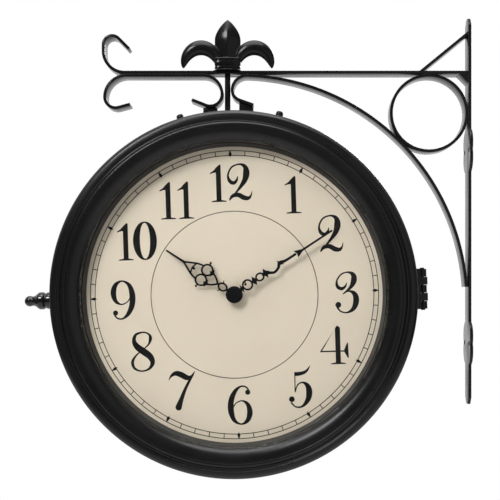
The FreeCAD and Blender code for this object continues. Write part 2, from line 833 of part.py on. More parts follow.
def cut_hand(label, strokes, depth, angle, pipe, bore, pipe_back, turn):
    """Hand cut from sheet, on the pipe or arbor that carries it, set to its clock angle."""
    flat = strokes[0].multiFuse(strokes[1:]).removeSplitter()
    plate = flat.extrude(Vector(0, 0, size.hand_thickness))
    plate.rotate(Vector(0, 0, 0), Vector(1, 0, 0), 90)
    plate.translate(Vector(0, -depth, 0))
    tube = cylinder(pipe, Vector(0, -depth - size.hand_thickness, 0), Vector(0, 1, 0),
                    depth + size.hand_thickness - pipe_back)
    hand = plate.fuse(tube)
    if bore:
        hand = hand.cut(cylinder(bore, Vector(0, -depth - 5, 0), Vector(0, 1, 0), depth + 5))
    else:
        cap = cylinder(size.hand_cap / 2, Vector(0, -depth - size.hand_thickness, 0), Vector(0, -1, 0),
                       size.hand_cap_height)
        hand = hand.fuse(cap)
    return formed(label, hand, turn.multiply(Placement(Vector(), Rotation(Vector(0, 1, 0), angle))))


def movement(name, turn):
    """Quartz movement with its threaded bush, battery bay and central bore."""
    half = size.movement_size / 2
    back = dial_back - size.movement_depth
    block = Part.makeBox(size.movement_size, size.movement_depth, size.movement_size,
                         Vector(-half, -dial_back, -half))
    block = block.makeFillet(3, [e for e in block.Edges if abs(e.tangentAt(0).y) > 0.5])
    bush = cylinder(size.bush_diameter / 2, Vector(0, -dial_back, 0), Vector(0, -1, 0),
                    size.dial_thickness + size.bush_length)
    trough = Part.makeBox(size.battery_length + 0.4, size.battery_diameter / 2 + 0.2, size.battery_diameter + 0.4,
                          Vector(-size.battery_length / 2 - 0.2, -back - size.battery_diameter / 2 - 0.2,
                                 -size.battery_drop - size.battery_diameter / 2 - 0.2))
    cradle = cylinder(size.battery_diameter / 2 + 0.2,
                      Vector(-size.battery_length / 2 - 0.2, -back - size.battery_diameter / 2 - 0.2,
                             -size.battery_drop), Vector(1, 0, 0), size.battery_length + 0.4)
    pipe_bore = cylinder(size.hour_pipe / 2 + size.running_clearance, Vector(0, -dial_back - 10, 0),
                         Vector(0, 1, 0), 14)
    formed(name + "_movement", block.fuse(bush).cut([trough, cradle, pipe_bore]), turn)
    formed(name + "_battery", cylinder(
        size.battery_diameter / 2,
        Vector(-size.battery_length / 2, -back - size.battery_diameter / 2 - 0.2, -size.battery_drop + 0.2 - 0.2),
        Vector(1, 0, 0), size.battery_length), turn)
    wheel = cylinder(size.set_wheel_diameter / 2, Vector(size.set_wheel_offset, -back + 0.3, size.set_wheel_offset),
                     Vector(0, 1, 0), size.set_wheel_height)
    formed(name + "_set_wheel", wheel, turn)


def dial_clip(angle, back):
    """Bent clip on the back rim of the bezel, whose foot holds the dial."""
    half = size.clip_width / 2
    foot = lens_radius - size.clip_reach
    strip = Part.makeBox(size.clip_width, size.clip_thickness, pocket + size.bezel_rim - foot,
                         Vector(-half, -back, foot))
    leg = Part.makeBox(size.clip_width, dial_back - back + size.clip_thickness, size.clip_thickness,
                       Vector(-half, -dial_back, foot))
    clip = strip.fuse(leg)
    clip.rotate(Vector(0, 0, 0), Vector(0, 1, 0), angle)
    return clip


def clock_face(name, half_turn, back):
    """All the pieces of one face, from the bezel in to the movement."""
    turn = case.multiply(Placement(Vector(), Rotation(Vector(0, 0, 1), half_turn)))

    def turned(label, curves):
        body = new_body(name + label, turn)
        revolve(body, curves)
        nodes.append(body)

    turned("_bezel", bezel_section(back))
    turned("_lens", outline((0, -lens_back), (lens_radius, -lens_back),
                            (lens_radius, -size.lens_face), (0, -size.lens_face)))
    sheet_back = size.dial_face + size.reveal_sheet
    turned("_reveal_ring", outline(
        (dial_opening, -size.dial_face), (lens_radius, -size.dial_face), (lens_radius, -sheet_back),
        (dial_opening + size.reveal_sheet, -sheet_back),
        (bezel_opening + size.reveal_sheet, -lens_back), (bezel_opening, -lens_back)))
    turned("_dial", ring(lens_radius, size.dial_hole / 2, -dial_back, -size.dial_face))
    clips = [dial_clip(angle, back) for angle in (45, 135, 225, 315)]
    formed(name + "_dial_clips", Part.Compound(clips), turn)
    movement(name, turn)
    nut = hexagon(size.hand_nut_flats, size.hand_nut_height, Vector(0, -size.dial_face, 0), Vector(0, -1, 0))
    nut = nut.cut(cylinder(size.bush_diameter / 2, Vector(0, -size.dial_face - 9, 0), Vector(0, 1, 0), 18))
    formed(name + "_hand_nut", nut, turn)
    arbor_bore = size.arbor / 2 + size.running_clearance
    cut_hand(name + "_hour_hand", hour_strokes(), hour_depth, size.hour_angle,
             size.hour_pipe / 2, arbor_bore, dial_back - 3, turn)
    cut_hand(name + "_minute_hand", minute_strokes(), minute_depth, size.minute_angle,
             size.arbor / 2, 0, dial_back - 3.8, turn)


for face_name, half_turn, back in (("front", 0, join), ("rear", 180, half_drum)):
    clock_face(face_name, half_turn, back)

# ------------------------------------------------------------------ hinge

axis_x = size.drum_radius + size.hinge_stand
axis_y = -half_drum - size.door_gap / 2
knuckles = 5
pitch = size.hinge_height / knuckles
drum_core = cylinder(size.drum_radius, Vector(0, -size.bezel_face, 0), Vector(0, 1, 0), 2 * size.bezel_face)
pin_bore = cylinder(size.hinge_pin / 2 + size.running_clearance,
                    Vector(axis_x, axis_y, -size.hinge_height), Vector(0, 0, 1), 2 * size.hinge_height)


def hinge_leaf(side, first):
    """Leaf on one side of the joint, with every second knuckle. Side 1 is the drum's, -1 the door's."""
    inner = size.drum_radius - 4
    near = axis_y + side * (size.door_gap / 2 + 0.2)
    far = axis_y + side * size.hinge_leaf_length
    low = min(near, far)
    leaf = Part.makeBox(size.drum_radius + size.hinge_leaf - inner, abs(far - near), size.hinge_height,
                        Vector(inner, low, -size.hinge_height / 2))
    pieces = []
    for index in range(first, knuckles, 2):
        bottom = -size.hinge_height / 2 + index * pitch + size.knuckle_gap / 2
        height = pitch - size.knuckle_gap
        barrel = cylinder(size.hinge_radius, Vector(axis_x, axis_y, bottom), Vector(0, 0, 1), height)
        arm_y = axis_y if side > 0 else axis_y - size.hinge_radius - 2
        arm = Part.makeBox(axis_x + size.hinge_radius - size.drum_radius - 1, size.hinge_radius + 2, height,
                           Vector(size.drum_radius + 1, arm_y, bottom))
        pieces += [barrel, arm]
    # between its own knuckles the leaf stands back from the other leaf's barrels
    shape = leaf.cut(cylinder(size.hinge_radius + size.knuckle_gap, Vector(axis_x, axis_y, -size.hinge_height),
                              Vector(0, 0, 1), 2 * size.hinge_height))
    return shape.fuse(pieces).cut([drum_core, pin_bore])


formed("hinge_case_leaf", hinge_leaf(1, 0), case)
formed("hinge_door_leaf", hinge_leaf(-1, 1), case)
pin_head = 1.2
pin = cylinder(size.hinge_pin / 2, Vector(axis_x, axis_y, -size.hinge_height / 2 - pin_head), Vector(0, 0, 1),
               size.hinge_height + 2 * pin_head)
heads = [cylinder(size.hinge_pin / 2 + 0.8, Vector(axis_x, axis_y, z), Vector(0, 0, 1), pin_head)
         for z in (-size.hinge_height / 2 - pin_head, size.hinge_height / 2)]
formed("hinge_pin", pin.fuse(heads), case)

# ------------------------------------------------------------------ latch

latch_y = -size.latch_back
hasp_inner = size.drum_radius + size.latch_gap
hasp_outer = hasp_inner + size.hasp_thickness
half_hasp = size.hasp_width / 2
stud_tip = size.drum_radius + size.knob_flange + 9
foot = Part.makeBox(hasp_outer - size.drum_radius + 4, 13, size.hasp_width,
                    Vector(-hasp_outer, -join - 13, -half_hasp)).cut(drum_core)
tongue = Part.makeBox(size.hasp_thickness, join - size.latch_back + 4, size.hasp_width,
                      Vector(-hasp_outer, -join, -half_hasp))
slot_half = size.stud_diameter / 2 + 0.4
slot = Part.makeBox(20, join, 2 * slot_half, Vector(-hasp_outer - 10, latch_y, -slot_half))
slot_end = cylinder(slot_half, Vector(-hasp_outer - 10, latch_y, 0), Vector(1, 0, 0), 20)
formed("latch_hasp", foot.fuse(tongue).cut([slot, slot_end]), case)

stud = cylinder(size.stud_diameter / 2, Vector(-drum_inner + 6, latch_y, 0), Vector(-1, 0, 0),
                stud_tip - drum_inner + 6)
stud_head = cylinder(size.stud_diameter, Vector(-drum_inner + 1, latch_y, 0), Vector(1, 0, 0), 4)
formed("latch_stud", stud.fuse(stud_head), case)

knob_base = hasp_outer + size.latch_gap
knob_radius = size.knob_diameter / 2
neck = size.knob_neck / 2
ball = size.knob_ball / 2
body_top = size.knob_flange + size.knob_body
ball_centre = body_top + ball
bore_depth = stud_tip - knob_base + 0.5
bore_radius = size.stud_diameter / 2 + size.running_clearance
knob = new_body("latch_knob", case.multiply(Placement(Vector(-knob_base, latch_y, 0),
                                                     Rotation(Vector(0, 1, 0), -90))))
revolve(knob, outline(
    (bore_radius, 0), (knob_radius, 0), (knob_radius, size.knob_flange),
    (knob_radius - 0.8, size.knob_flange),
    (neck, body_top, neck + 2.6, size.knob_flange + size.knob_body * 0.45),
    (neck, ball_centre - math.sqrt(ball ** 2 - neck ** 2)),
    (0, ball_centre + ball, ball, ball_centre),
    (0, bore_depth), (bore_radius, bore_depth)), role="XZ_Plane")
nodes.append(knob)

# ------------------------------------------------------------------ check and write

doc.recompute()
for item in doc.Objects:
    if "Invalid" in item.State or "Error" in item.State:
        raise RuntimeError("%s failed: %s" % (item.Label, item.State))
os.makedirs("parts", exist_ok=True)
for piece in nodes:
    shape = piece.Shape
    if shape.isNull() or not shape.isValid():
        raise RuntimeError("%s has no sound shape" % piece.Label)
    shape.exportStep("parts/%s.step" % piece.Label)
    print("%-20s %d solid, %.0f mm3" % (piece.Label, len(shape.Solids), shape.Volume))
print(len(nodes), "pieces")
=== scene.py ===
import math

import bmesh
import bpy
import numpy as np
from mathutils import Matrix, Vector
from mathutils.geometry import delaunay_2d_cdt


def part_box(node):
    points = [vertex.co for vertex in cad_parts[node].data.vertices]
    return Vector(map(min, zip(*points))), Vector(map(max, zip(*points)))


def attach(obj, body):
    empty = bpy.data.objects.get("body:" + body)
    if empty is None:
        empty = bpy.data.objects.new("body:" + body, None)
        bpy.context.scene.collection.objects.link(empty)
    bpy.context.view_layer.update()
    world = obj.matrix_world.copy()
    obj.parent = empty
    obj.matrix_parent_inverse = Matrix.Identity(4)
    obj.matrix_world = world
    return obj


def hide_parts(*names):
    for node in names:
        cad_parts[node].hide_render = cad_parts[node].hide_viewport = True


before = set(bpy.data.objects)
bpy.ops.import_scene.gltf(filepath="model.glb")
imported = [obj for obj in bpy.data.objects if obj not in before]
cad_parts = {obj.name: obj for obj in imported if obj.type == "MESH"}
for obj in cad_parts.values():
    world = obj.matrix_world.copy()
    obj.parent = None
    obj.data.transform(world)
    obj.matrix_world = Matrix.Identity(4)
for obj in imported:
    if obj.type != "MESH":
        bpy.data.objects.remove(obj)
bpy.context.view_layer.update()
scene = bpy.context.scene
mm = 0.001

# ---------------------------------------------------------------- bracket straps
# Flat mild steel bar, 20 by 3.2 mm, bent cold into scrolls, an arc and a ring, welded together and
# dipped in satin black paint. The paint runs thin and bright over the sheared edges.


def node_group(name, inputs, outputs):
    """An empty shader node group with float inputs given as (name, value), and (name, kind) outputs."""
    group = bpy.data.node_groups.new(name, "ShaderNodeTree")
    for label, value in inputs:
        socket = group.interface.new_socket(label, in_out="INPUT", socket_type="NodeSocketFloat")
        socket.default_value = value
    for label, kind in outputs:
        group.interface.new_socket(label, in_out="OUTPUT", socket_type=kind)
    return group, group.nodes.new("NodeGroupInput"), group.nodes.new("NodeGroupOutput")


# Patches are broad and soft, specks are fine dust, and the normal is the skin of the paint or casting.
surface_grain, grain_in, grain_out = node_group(
    "surface_grain",
    [("Patch size", 40.0), ("Grain size", 700.0), ("Grain depth", 0.2)],
    [("Patches", "NodeSocketFloat"), ("Specks", "NodeSocketFloat"), ("Normal", "NodeSocketVector")])
place_node = surface_grain.nodes.new("ShaderNodeTexCoord")
patch_noise = surface_grain.nodes.new("ShaderNodeTexNoise")
patch_noise.inputs["Detail"].default_value = 4
grain_noise = surface_grain.nodes.new("ShaderNodeTexNoise")
grain_noise.inputs["Detail"].default_value = 3
speck_noise = surface_grain.nodes.new("ShaderNodeTexNoise")
speck_noise.inputs["Scale"].default_value = 1600
speck_ramp = surface_grain.nodes.new("ShaderNodeMapRange")
speck_ramp.inputs["From Min"].default_value = 0.66
speck_ramp.inputs["From Max"].default_value = 0.78
skin_bump = surface_grain.nodes.new("ShaderNodeBump")
skin_bump.inputs["Distance"].default_value = 0.05 * mm
for noise in (patch_noise, grain_noise, speck_noise):
    surface_grain.links.new(place_node.outputs["Object"], noise.inputs["Vector"])
surface_grain.links.new(grain_in.outputs["Patch size"], patch_noise.inputs["Scale"])
surface_grain.links.new(grain_in.outputs["Grain size"], grain_noise.inputs["Scale"])
surface_grain.links.new(grain_in.outputs["Grain depth"], skin_bump.inputs["Strength"])
surface_grain.links.new(grain_noise.outputs["Fac"], skin_bump.inputs["Height"])
surface_grain.links.new(speck_noise.outputs["Fac"], speck_ramp.inputs["Value"])
surface_grain.links.new(patch_noise.outputs["Fac"], grain_out.inputs["Patches"])
surface_grain.links.new(speck_ramp.outputs["Result"], grain_out.inputs["Specks"])
surface_grain.links.new(skin_bump.outputs["Normal"], grain_out.inputs["Normal"])


# A Mix node takes its two colours at these sockets and gives the mixed one at the third.
mix_a, mix_b, mix_out = 6, 7, 2


def finish(name, colour, patch_colour, speck_colour, roughness, patch_size=40, grain_size=700,
           grain_depth=0.2, metallic=0.0, specular=0.5, coat=0.0):
    """A material whose colour and gloss drift in patches, with fine specks and a grained skin."""
    material = bpy.data.materials.new(name)
    material.use_nodes = True
    tree = material.node_tree
    shader = tree.nodes["Principled BSDF"]
    grain = tree.nodes.new("ShaderNodeGroup")
    grain.node_tree = surface_grain
    grain.inputs["Patch size"].default_value = patch_size
    grain.inputs["Grain size"].default_value = grain_size
    grain.inputs["Grain depth"].default_value = grain_depth
    patches = tree.nodes.new("ShaderNodeMix")
    patches.data_type = "RGBA"
    patches.inputs[mix_a].default_value = (*colour, 1)
    patches.inputs[mix_b].default_value = (*patch_colour, 1)
    specks = tree.nodes.new("ShaderNodeMix")
    specks.data_type = "RGBA"
    specks.inputs[mix_b].default_value = (*speck_colour, 1)
    gloss = tree.nodes.new("ShaderNodeMapRange")
    gloss.inputs["From Min"].default_value = 0.3
    gloss.inputs["From Max"].default_value = 0.7
    gloss.inputs["To Min"].default_value = roughness[0]
    gloss.inputs["To Max"].default_value = roughness[1]
    tree.links.new(grain.outputs["Patches"], patches.inputs[0])
    tree.links.new(patches.outputs[mix_out], specks.inputs[mix_a])
    tree.links.new(grain.outputs["Specks"], specks.inputs[0])
    tree.links.new(specks.outputs[mix_out], shader.inputs["Base Color"])
    tree.links.new(grain.outputs["Patches"], gloss.inputs["Value"])
    tree.links.new(gloss.outputs["Result"], shader.inputs["Roughness"])
    tree.links.new(grain.outputs["Normal"], shader.inputs["Normal"])
    shader.inputs["Metallic"].default_value = metallic
    shader.inputs["Specular IOR Level"].default_value = specular
    shader.inputs["Coat Weight"].default_value = coat
    shader.inputs["Coat Roughness"].default_value = 0.08
    return material


def painted(node, material):
    """Give a CAD piece its finish."""
    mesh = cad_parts[node].data
    mesh.materials.clear()
    mesh.materials.append(material)


def new_piece(name, mesh, material):
    piece = bpy.data.objects.new(name, mesh)
    scene.collection.objects.link(piece)
    mesh.materials.clear()
    mesh.materials.append(material)
    return piece


def fixed_shape(piece, sharp=35):
    """Keep what the modifiers make of a piece as its mesh, and shade it smooth but for its sharp edges."""
    evaluated = piece.evaluated_get(bpy.context.evaluated_depsgraph_get())
    mesh = bpy.data.meshes.new_from_object(evaluated)
    piece.modifiers.clear()
    piece.data = mesh
    mesh.shade_smooth()
    mesh.set_sharp_from_angle(angle=math.radians(sharp))
    return piece


weld_distance = 0.001 * mm
flat_angle = math.radians(0.8)
edge_angle = math.radians(35)


def eased(node, body, material, width):
    """A CAD piece again with its hard edges rounded over by this width."""
    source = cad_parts[node].data
    edit = bmesh.new()
    corners = [edit.verts.new(vertex.co) for vertex in source.vertices]
    for polygon in source.polygons:
        edit.faces.new([corners[index] for index in polygon.vertices])
    bmesh.ops.remove_doubles(edit, verts=edit.verts, dist=weld_distance)
    bmesh.ops.dissolve_degenerate(edit, dist=weld_distance, edges=edit.edges)
    bmesh.ops.dissolve_limit(edit, angle_limit=flat_angle, verts=edit.verts, edges=edit.edges)
    mesh = bpy.data.meshes.new(node + "_eased")
    edit.to_mesh(mesh)
    edit.free()
    piece = new_piece(node + "_eased", mesh, material)
    bevel = piece.modifiers.new("edge", "BEVEL")
    bevel.width = width
    bevel.segments = 3
    bevel.limit_method = "ANGLE"
    bevel.angle_limit = edge_angle
    fixed_shape(piece)
    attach(piece, body)
    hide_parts(node)


strap_paint = finish("strap_paint", (0.005, 0.005, 0.0055), (0.008, 0.008, 0.0085), (0.013, 0.013, 0.013),
                     (0.16, 0.26), patch_size=30, grain_size=240, grain_depth=0.1, specular=0.32)
strap_edge = 0.3 * mm
for node in ("wall_bar", "top_bar", "twin_scroll_strap", "arc_brace", "bracket_ring", "diagonal_strut",
             "corner_gusset", "hanger_lugs"):
    eased(node, "bracket_and_case", strap_paint, strap_edge)

# ---------------------------------------------------------------- finial
# Cast fleur-de-lis on a round flange, screwed down on the top of the hanging rod. The middle petal is
# creased down the front and the back, and the side petals roll over. It has the same black paint.


def skin(name, loops, material):
    """Closed mesh through loops that have the same number of points."""
    count = len(loops[0])
    mesh = bpy.data.meshes.new(name)
    points = [point for loop in loops for point in loop]
    faces = []
    for row in range(len(loops) - 1):
        for column in range(count):
            after = (column + 1) % count
            faces.append((row * count + column, row * count + after,
                          (row + 1) * count + after, (row + 1) * count + column))
    faces.append(tuple(range(count))[::-1])
    faces.append(tuple(range((len(loops) - 1) * count, len(loops) * count)))
    mesh.from_pydata(points, [], faces)
    return new_piece(name, mesh, material)


def oval(centre, across, half_width, half_depth, fullness, count=40):
    """Loop round a centre: fullness 2 is an ellipse, less is creased and more is boxy."""
    loop = []
    for step in range(count):
        turn = math.tau * step / count
        cosine = math.copysign(abs(math.cos(turn)) ** (2 / fullness), math.cos(turn))
        sine = math.copysign(abs(math.sin(turn)) ** (2 / fullness), math.sin(turn))
        loop.append(centre + across * half_width * cosine + Vector((0, half_depth * sine, 0)))
    return loop


casting_paint = finish("casting_paint", (0.005, 0.005, 0.0055), (0.008, 0.008, 0.0085),
                       (0.013, 0.013, 0.013), (0.15, 0.26), patch_size=60, grain_size=320,
                       grain_depth=0.2, specular=0.3)
finial_low, finial_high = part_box("fleur_finial")
finial_foot = Vector(((finial_low.x + finial_high.x) / 2, 0, finial_low.z))
finial_height = finial_high.z - finial_low.z
sideways = Vector((1, 0, 0))
upwards = Vector((0, 0, 1))

petal_half_width = 14.0 * mm
petal_half_depth = 5.7 * mm
belly = 0.57
neck_share = 0.42
shoulder = 0.8
point_share = 0.02
tip_share = 0.998
crease = 1.25
middle_steps = 40
middle_loops = []
for step in range(middle_steps + 1):
    level = step / middle_steps
    if level < belly:
        swell = neck_share + (1 - neck_share) * math.sin(math.pi / 2 * level / belly)
    else:
        swell = math.cos(math.pi / 2 * (level - belly) / (1 - belly)) ** shoulder
    swell = max(swell, point_share)
    middle_loops.append(oval(finial_foot + upwards * finial_height * level * tip_share, sideways,
                             petal_half_width * swell, petal_half_depth * swell, crease))
finial_parts = [skin("middle_petal", middle_loops, casting_paint)]

petal_root = 9.5 * mm
petal_reach = 47.3 * mm
petal_crest = 22.2 * mm
side_half_width = 7.9 * mm
side_half_depth = 5.1 * mm
side_foot = 1.0 * mm
side_swell = 0.62
side_fullness = 1.8
petal_tip = 0.2 * mm
side_steps = 48
petal_middle = (petal_root + petal_reach) / 2
petal_span = (petal_reach - petal_root) / 2
for side in (-1, 1):
    side_loops = []
    for step in range(side_steps + 1):
        turn = math.pi * (1 - step / side_steps)
        centre_x = petal_middle + petal_span * math.cos(turn)
        centre_z = side_foot + petal_crest * math.sin(turn)
        swell = max(math.sin(turn), 0.001) ** side_swell
        run = Vector((side * petal_span * math.sin(turn), 0, -petal_crest * math.cos(turn)))
        across = Vector((-run.z, 0, run.x)).normalized() * side
        centre = finial_foot + sideways * side * centre_x + upwards * centre_z
        side_loops.append(oval(centre, across, side_half_width * swell + petal_tip,
                               side_half_depth * swell + petal_tip, side_fullness))
    finial_parts.append(skin("side_petal", side_loops, casting_paint))

collar_half_width = 14.1 * mm
collar_half_depth = 6.0 * mm
collar_height = 12.0 * mm
bead_depth = 0.07
bead_fullness = 0.6
collar_end = 0.9
end_slope = 2
collar_squareness = 4
collar_steps = 32
collar_loops = []
for step in range(collar_steps + 1):
    level = step / collar_steps
    beads = 1 - bead_depth + bead_depth * abs(math.cos(level * math.tau)) ** bead_fullness
    ends = min(1, collar_end + level * end_slope, collar_end + (1 - level) * end_slope)
    collar_loops.append(oval(finial_foot + upwards * collar_height * level, sideways,
                             collar_half_width * beads * ends, collar_half_depth * beads * ends,
                             collar_squareness))
finial_parts.append(skin("collar", collar_loops, casting_paint))

finial = finial_parts[0]
finial.name = "fleur_casting"
edit = bmesh.new()
for part in finial_parts:
    edit.from_mesh(part.data)
bmesh.ops.recalc_face_normals(edit, faces=edit.faces)
edit.to_mesh(finial.data)
edit.free()
for part in finial_parts[1:]:
    bpy.data.objects.remove(part)
melt = finial.modifiers.new("cast in one", "REMESH")
melt.mode = "VOXEL"
melt.voxel_size = 0.34 * mm
soften = finial.modifiers.new("cast skin", "SMOOTH")
soften.factor = 0.5
soften.iterations = 6
fixed_shape(finial, sharp=60)
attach(finial, "bracket_and_case")
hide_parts("fleur_finial")
eased("finial_flange", "bracket_and_case", casting_paint, 0.4 * mm)

# ---------------------------------------------------------------- hanging rod, nut and screws
# Round steel rod through the top bar, with a nut inside the case, two screws up into the lugs and two
# tall screws with turned heads that hold the saddle. All are chemically blackened and lightly oiled.

blackening = finish("blackening", (0.006, 0.006, 0.007), (0.011, 0.0105, 0.011), (0.05, 0.045, 0.04),
                    (0.24, 0.40), patch_size=110, grain_size=1200, grain_depth=0.15, specular=0.25)
for node in ("hanger_rod", "rod_nut", "lug_screws", "hinge_pin", "latch_stud"):
    painted(node, blackening)

dial_low, dial_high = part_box("front_dial")
case_centre = Vector(((dial_low.x + dial_high.x) / 2, 0, (dial_low.z + dial_high.z) / 2))
case_lean = math.radians(-1.8)
front_place = Matrix.Translation(case_centre) @ Matrix.Rotation(case_lean, 4, "Y")
rear_place = front_place @ Matrix.Rotation(math.pi, 4, "Z")


def rounded(corners, radius, steps=4):
    """Outline in mm with its corners rounded, each by the radius or as much as its sides allow."""
    points = []
    for index, corner in enumerate(corners):
        here = Vector(corner)
        before = Vector(corners[index - 1]) - here
        after = Vector(corners[(index + 1) % len(corners)]) - here
        reach = min(radius, before.length * 0.45, after.length * 0.45)
        start = here + before.normalized() * reach
        end = here + after.normalized() * reach
        for step in range(steps + 1):
            share = step / steps
            points.append(start * (1 - share) ** 2 + here * 2 * share * (1 - share) + end * share ** 2)
    return points


lathe_weld = 0.002 * mm


def turned(name, section, place, material, steps=72):
    """Piece turned on a lathe: the section is closed, in mm, as (radius, height along -Y, the axis)."""
    mesh = bpy.data.meshes.new(name)
    points = []
    faces = []
    count = len(section)
    for row in range(steps):
        turn = math.tau * row / steps
        for radius, height in section:
            points.append(place @ (Vector((radius * math.cos(turn), -height, radius * math.sin(turn))) * mm))
    for row in range(steps):
        following = (row + 1) % steps
        for column in range(count):
            after = (column + 1) % count
            faces.append((row * count + column, row * count + after,
                          following * count + after, following * count + column))
    mesh.from_pydata(points, [], faces)
    edit = bmesh.new()
    edit.from_mesh(mesh)
    bmesh.ops.remove_doubles(edit, verts=edit.verts, dist=lathe_weld)
    bmesh.ops.dissolve_degenerate(edit, dist=lathe_weld, edges=edit.edges)
    bmesh.ops.recalc_face_normals(edit, faces=edit.faces)
    edit.to_mesh(mesh)
    edit.free()
    return fixed_shape(new_piece(name, mesh, material), sharp=38)


drum_radius = 188.0
cap_half_angle = math.radians(15.5)
cap_section = rounded([(0, 0.2), (6, 0.2), (6, 2.1), (4, 2.1), (4, 11.4), (3.3, 13.4), (1.7, 14.0),
                       (0, 14.0)], 0.7)
for side, name in ((-1, "cap_screw_left"), (1, "cap_screw_right")):
    place = (front_place @ Matrix.Rotation(side * cap_half_angle, 4, "Y")
             @ Matrix.Translation((0, 0, drum_radius * mm)) @ Matrix.Rotation(-math.pi / 2, 4, "X"))
    cap = turned(name, cap_section, place, blackening, steps=40)
    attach(cap, "bracket_and_case")
    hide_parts("cap_screws")

# ---------------------------------------------------------------- case
# Rolled steel drum with a plain steel saddle under its top, painted satin black outside and in. The
# hinge leaves and the hasp are bent from sheet, riveted on and painted with it.

case_paint = finish("case_paint", (0.0045, 0.0045, 0.005), (0.007, 0.007, 0.0075), (0.012, 0.012, 0.012),
                    (0.24, 0.32), patch_size=18, grain_size=420, grain_depth=0.06, specular=0.45)
painted("case_drum", case_paint)
for node, body in (("hinge_case_leaf", "bracket_and_case"), ("hinge_door_leaf", "front_door"),
                   ("latch_hasp", "front_door")):
    eased(node, body, case_paint, 0.12 * mm)

plated_steel = finish("plated_steel", (0.52, 0.52, 0.53), (0.62, 0.62, 0.61), (0.30, 0.29, 0.27),
                      (0.28, 0.46), patch_size=55, grain_size=900, grain_depth=0.15, metallic=1.0)
for node in ("saddle_strap", "front_dial_clips", "rear_dial_clips"):
    painted(node, plated_steel)

# ---------------------------------------------------------------- latch knob
# Turned knob with a flange, a waist and a ball end, which screws on to the stud and holds the door shut.
# It is lacquered gloss black.

knob_gloss = finish("knob_gloss", (0.005, 0.005, 0.006), (0.008, 0.008, 0.009), (0.03, 0.03, 0.03),
                    (0.05, 0.10), patch_size=80, grain_size=900, grain_depth=0.04, specular=0.5, coat=0.4)
knob_base = 191.8
latch_depth = 12.0
ball_radius = 5.7
knob_bore = 2.6
knob_bore_depth = 9
knob_neck_end = 19.5
knob_body = [(knob_bore, 0), (8.9, 0), (8.9, 6.6), (7.9, 7.4), (7.9, 8.2), (9.25, 10.6), (9.25, 14.6),
             (8.3, 16.2), (6.0, 19.0), (5.2, 20.6)]
ball_points = [(ball_radius * math.sin(turn), knob_neck_end + ball_radius - ball_radius * math.cos(turn))
               for turn in (math.radians(degrees) for degrees in range(60, 181, 12))]
knob_bottom = [(0, knob_bore_depth), (knob_bore, knob_bore_depth)]
knob_section = rounded(knob_body + ball_points + knob_bottom, 0.6)
knob_place = (front_place @ Matrix.Translation((-knob_base * mm, -latch_depth * mm, 0))
              @ Matrix.Rotation(-math.pi / 2, 4, "Z"))
knob = turned("turned_knob", knob_section, knob_place, knob_gloss, steps=64)
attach(knob, "latch_knob")
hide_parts("latch_knob")

# ---------------------------------------------------------------- bezels
# Each bezel is spun from steel sheet: a skirt, a rolled edge, a groove, a bead and a deep cove down to
# the lip round the glass. It is painted with the case. The front one swings with the door.

join = {"front": 20.4, "rear": 20.0}
face_body = {"front": "front_door", "rear": "bracket_and_case"}
face_place = {"front": front_place, "rear": rear_place}
bezel_face = 50.0
bezel_opening = 157.5
lens_face = 38.0
pocket = 166.3


def bezel_outline(back):
    """Section of a bezel, with the cove as a quarter of an ellipse."""
    bead = drum_radius - 11.8
    cove_width = 14.5
    cove_depth = 9.8
    cove_lip = 0.5
    cove_drop = 0.9
    cove_steps = 10
    cove = []
    for step in range(cove_steps + 1):
        turn = math.pi / 2 * step / cove_steps
        cove.append((bezel_opening + cove_lip + cove_width * (1 - math.sin(turn)),
                     bezel_face - cove_drop - cove_depth * (1 - math.cos(turn))))
    front = rounded([(drum_radius, back), (drum_radius, 38.2), (drum_radius + 1.95, 42.0),
                     (drum_radius + 1.6, 44.6), (drum_radius - 1.6, 47.6), (drum_radius - 6.0, 48.3),
                     (drum_radius - 7.3, 46.7), (drum_radius - 9.2, 46.7), (bead, 49.95),
                     (bead - 3.2, 49.95)], 1.1)
    inside = rounded([(bezel_opening, lens_face), (pocket, lens_face), (pocket, back), (pocket + 4, back),
                      (pocket + 4, 44.8), (drum_radius - 1.8, 44.8), (drum_radius - 1.8, back)],
                     0.3, steps=2)
    return front + cove + [(bezel_opening, 38.9)] + inside


for face in ("front", "rear"):
    bezel = turned(face + "_spun_bezel", bezel_outline(join[face]), face_place[face], case_paint, steps=240)
    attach(bezel, face_body[face])
    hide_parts(face + "_bezel")

# ---------------------------------------------------------------- reveal rings
# Ring of thin sheet steel, rolled to a shallow cone, that stands between the dial and the glass and holds
# them apart. It has a dark grey satin paint.

reveal_paint = finish("reveal_paint", (0.052, 0.050, 0.047), (0.060, 0.057, 0.054), (0.11, 0.11, 0.10),
                      (0.48, 0.60), patch_size=22, grain_size=650, grain_depth=0.2, specular=0.05)
for face in ("front", "rear"):
    painted(face + "_reveal_ring", reveal_paint)

# ---------------------------------------------------------------- glass
# Round of flat clear window glass, pressed into the pocket behind the bezel's lip and kept there by the
# reveal ring. It is wiped clean but for faint marks.

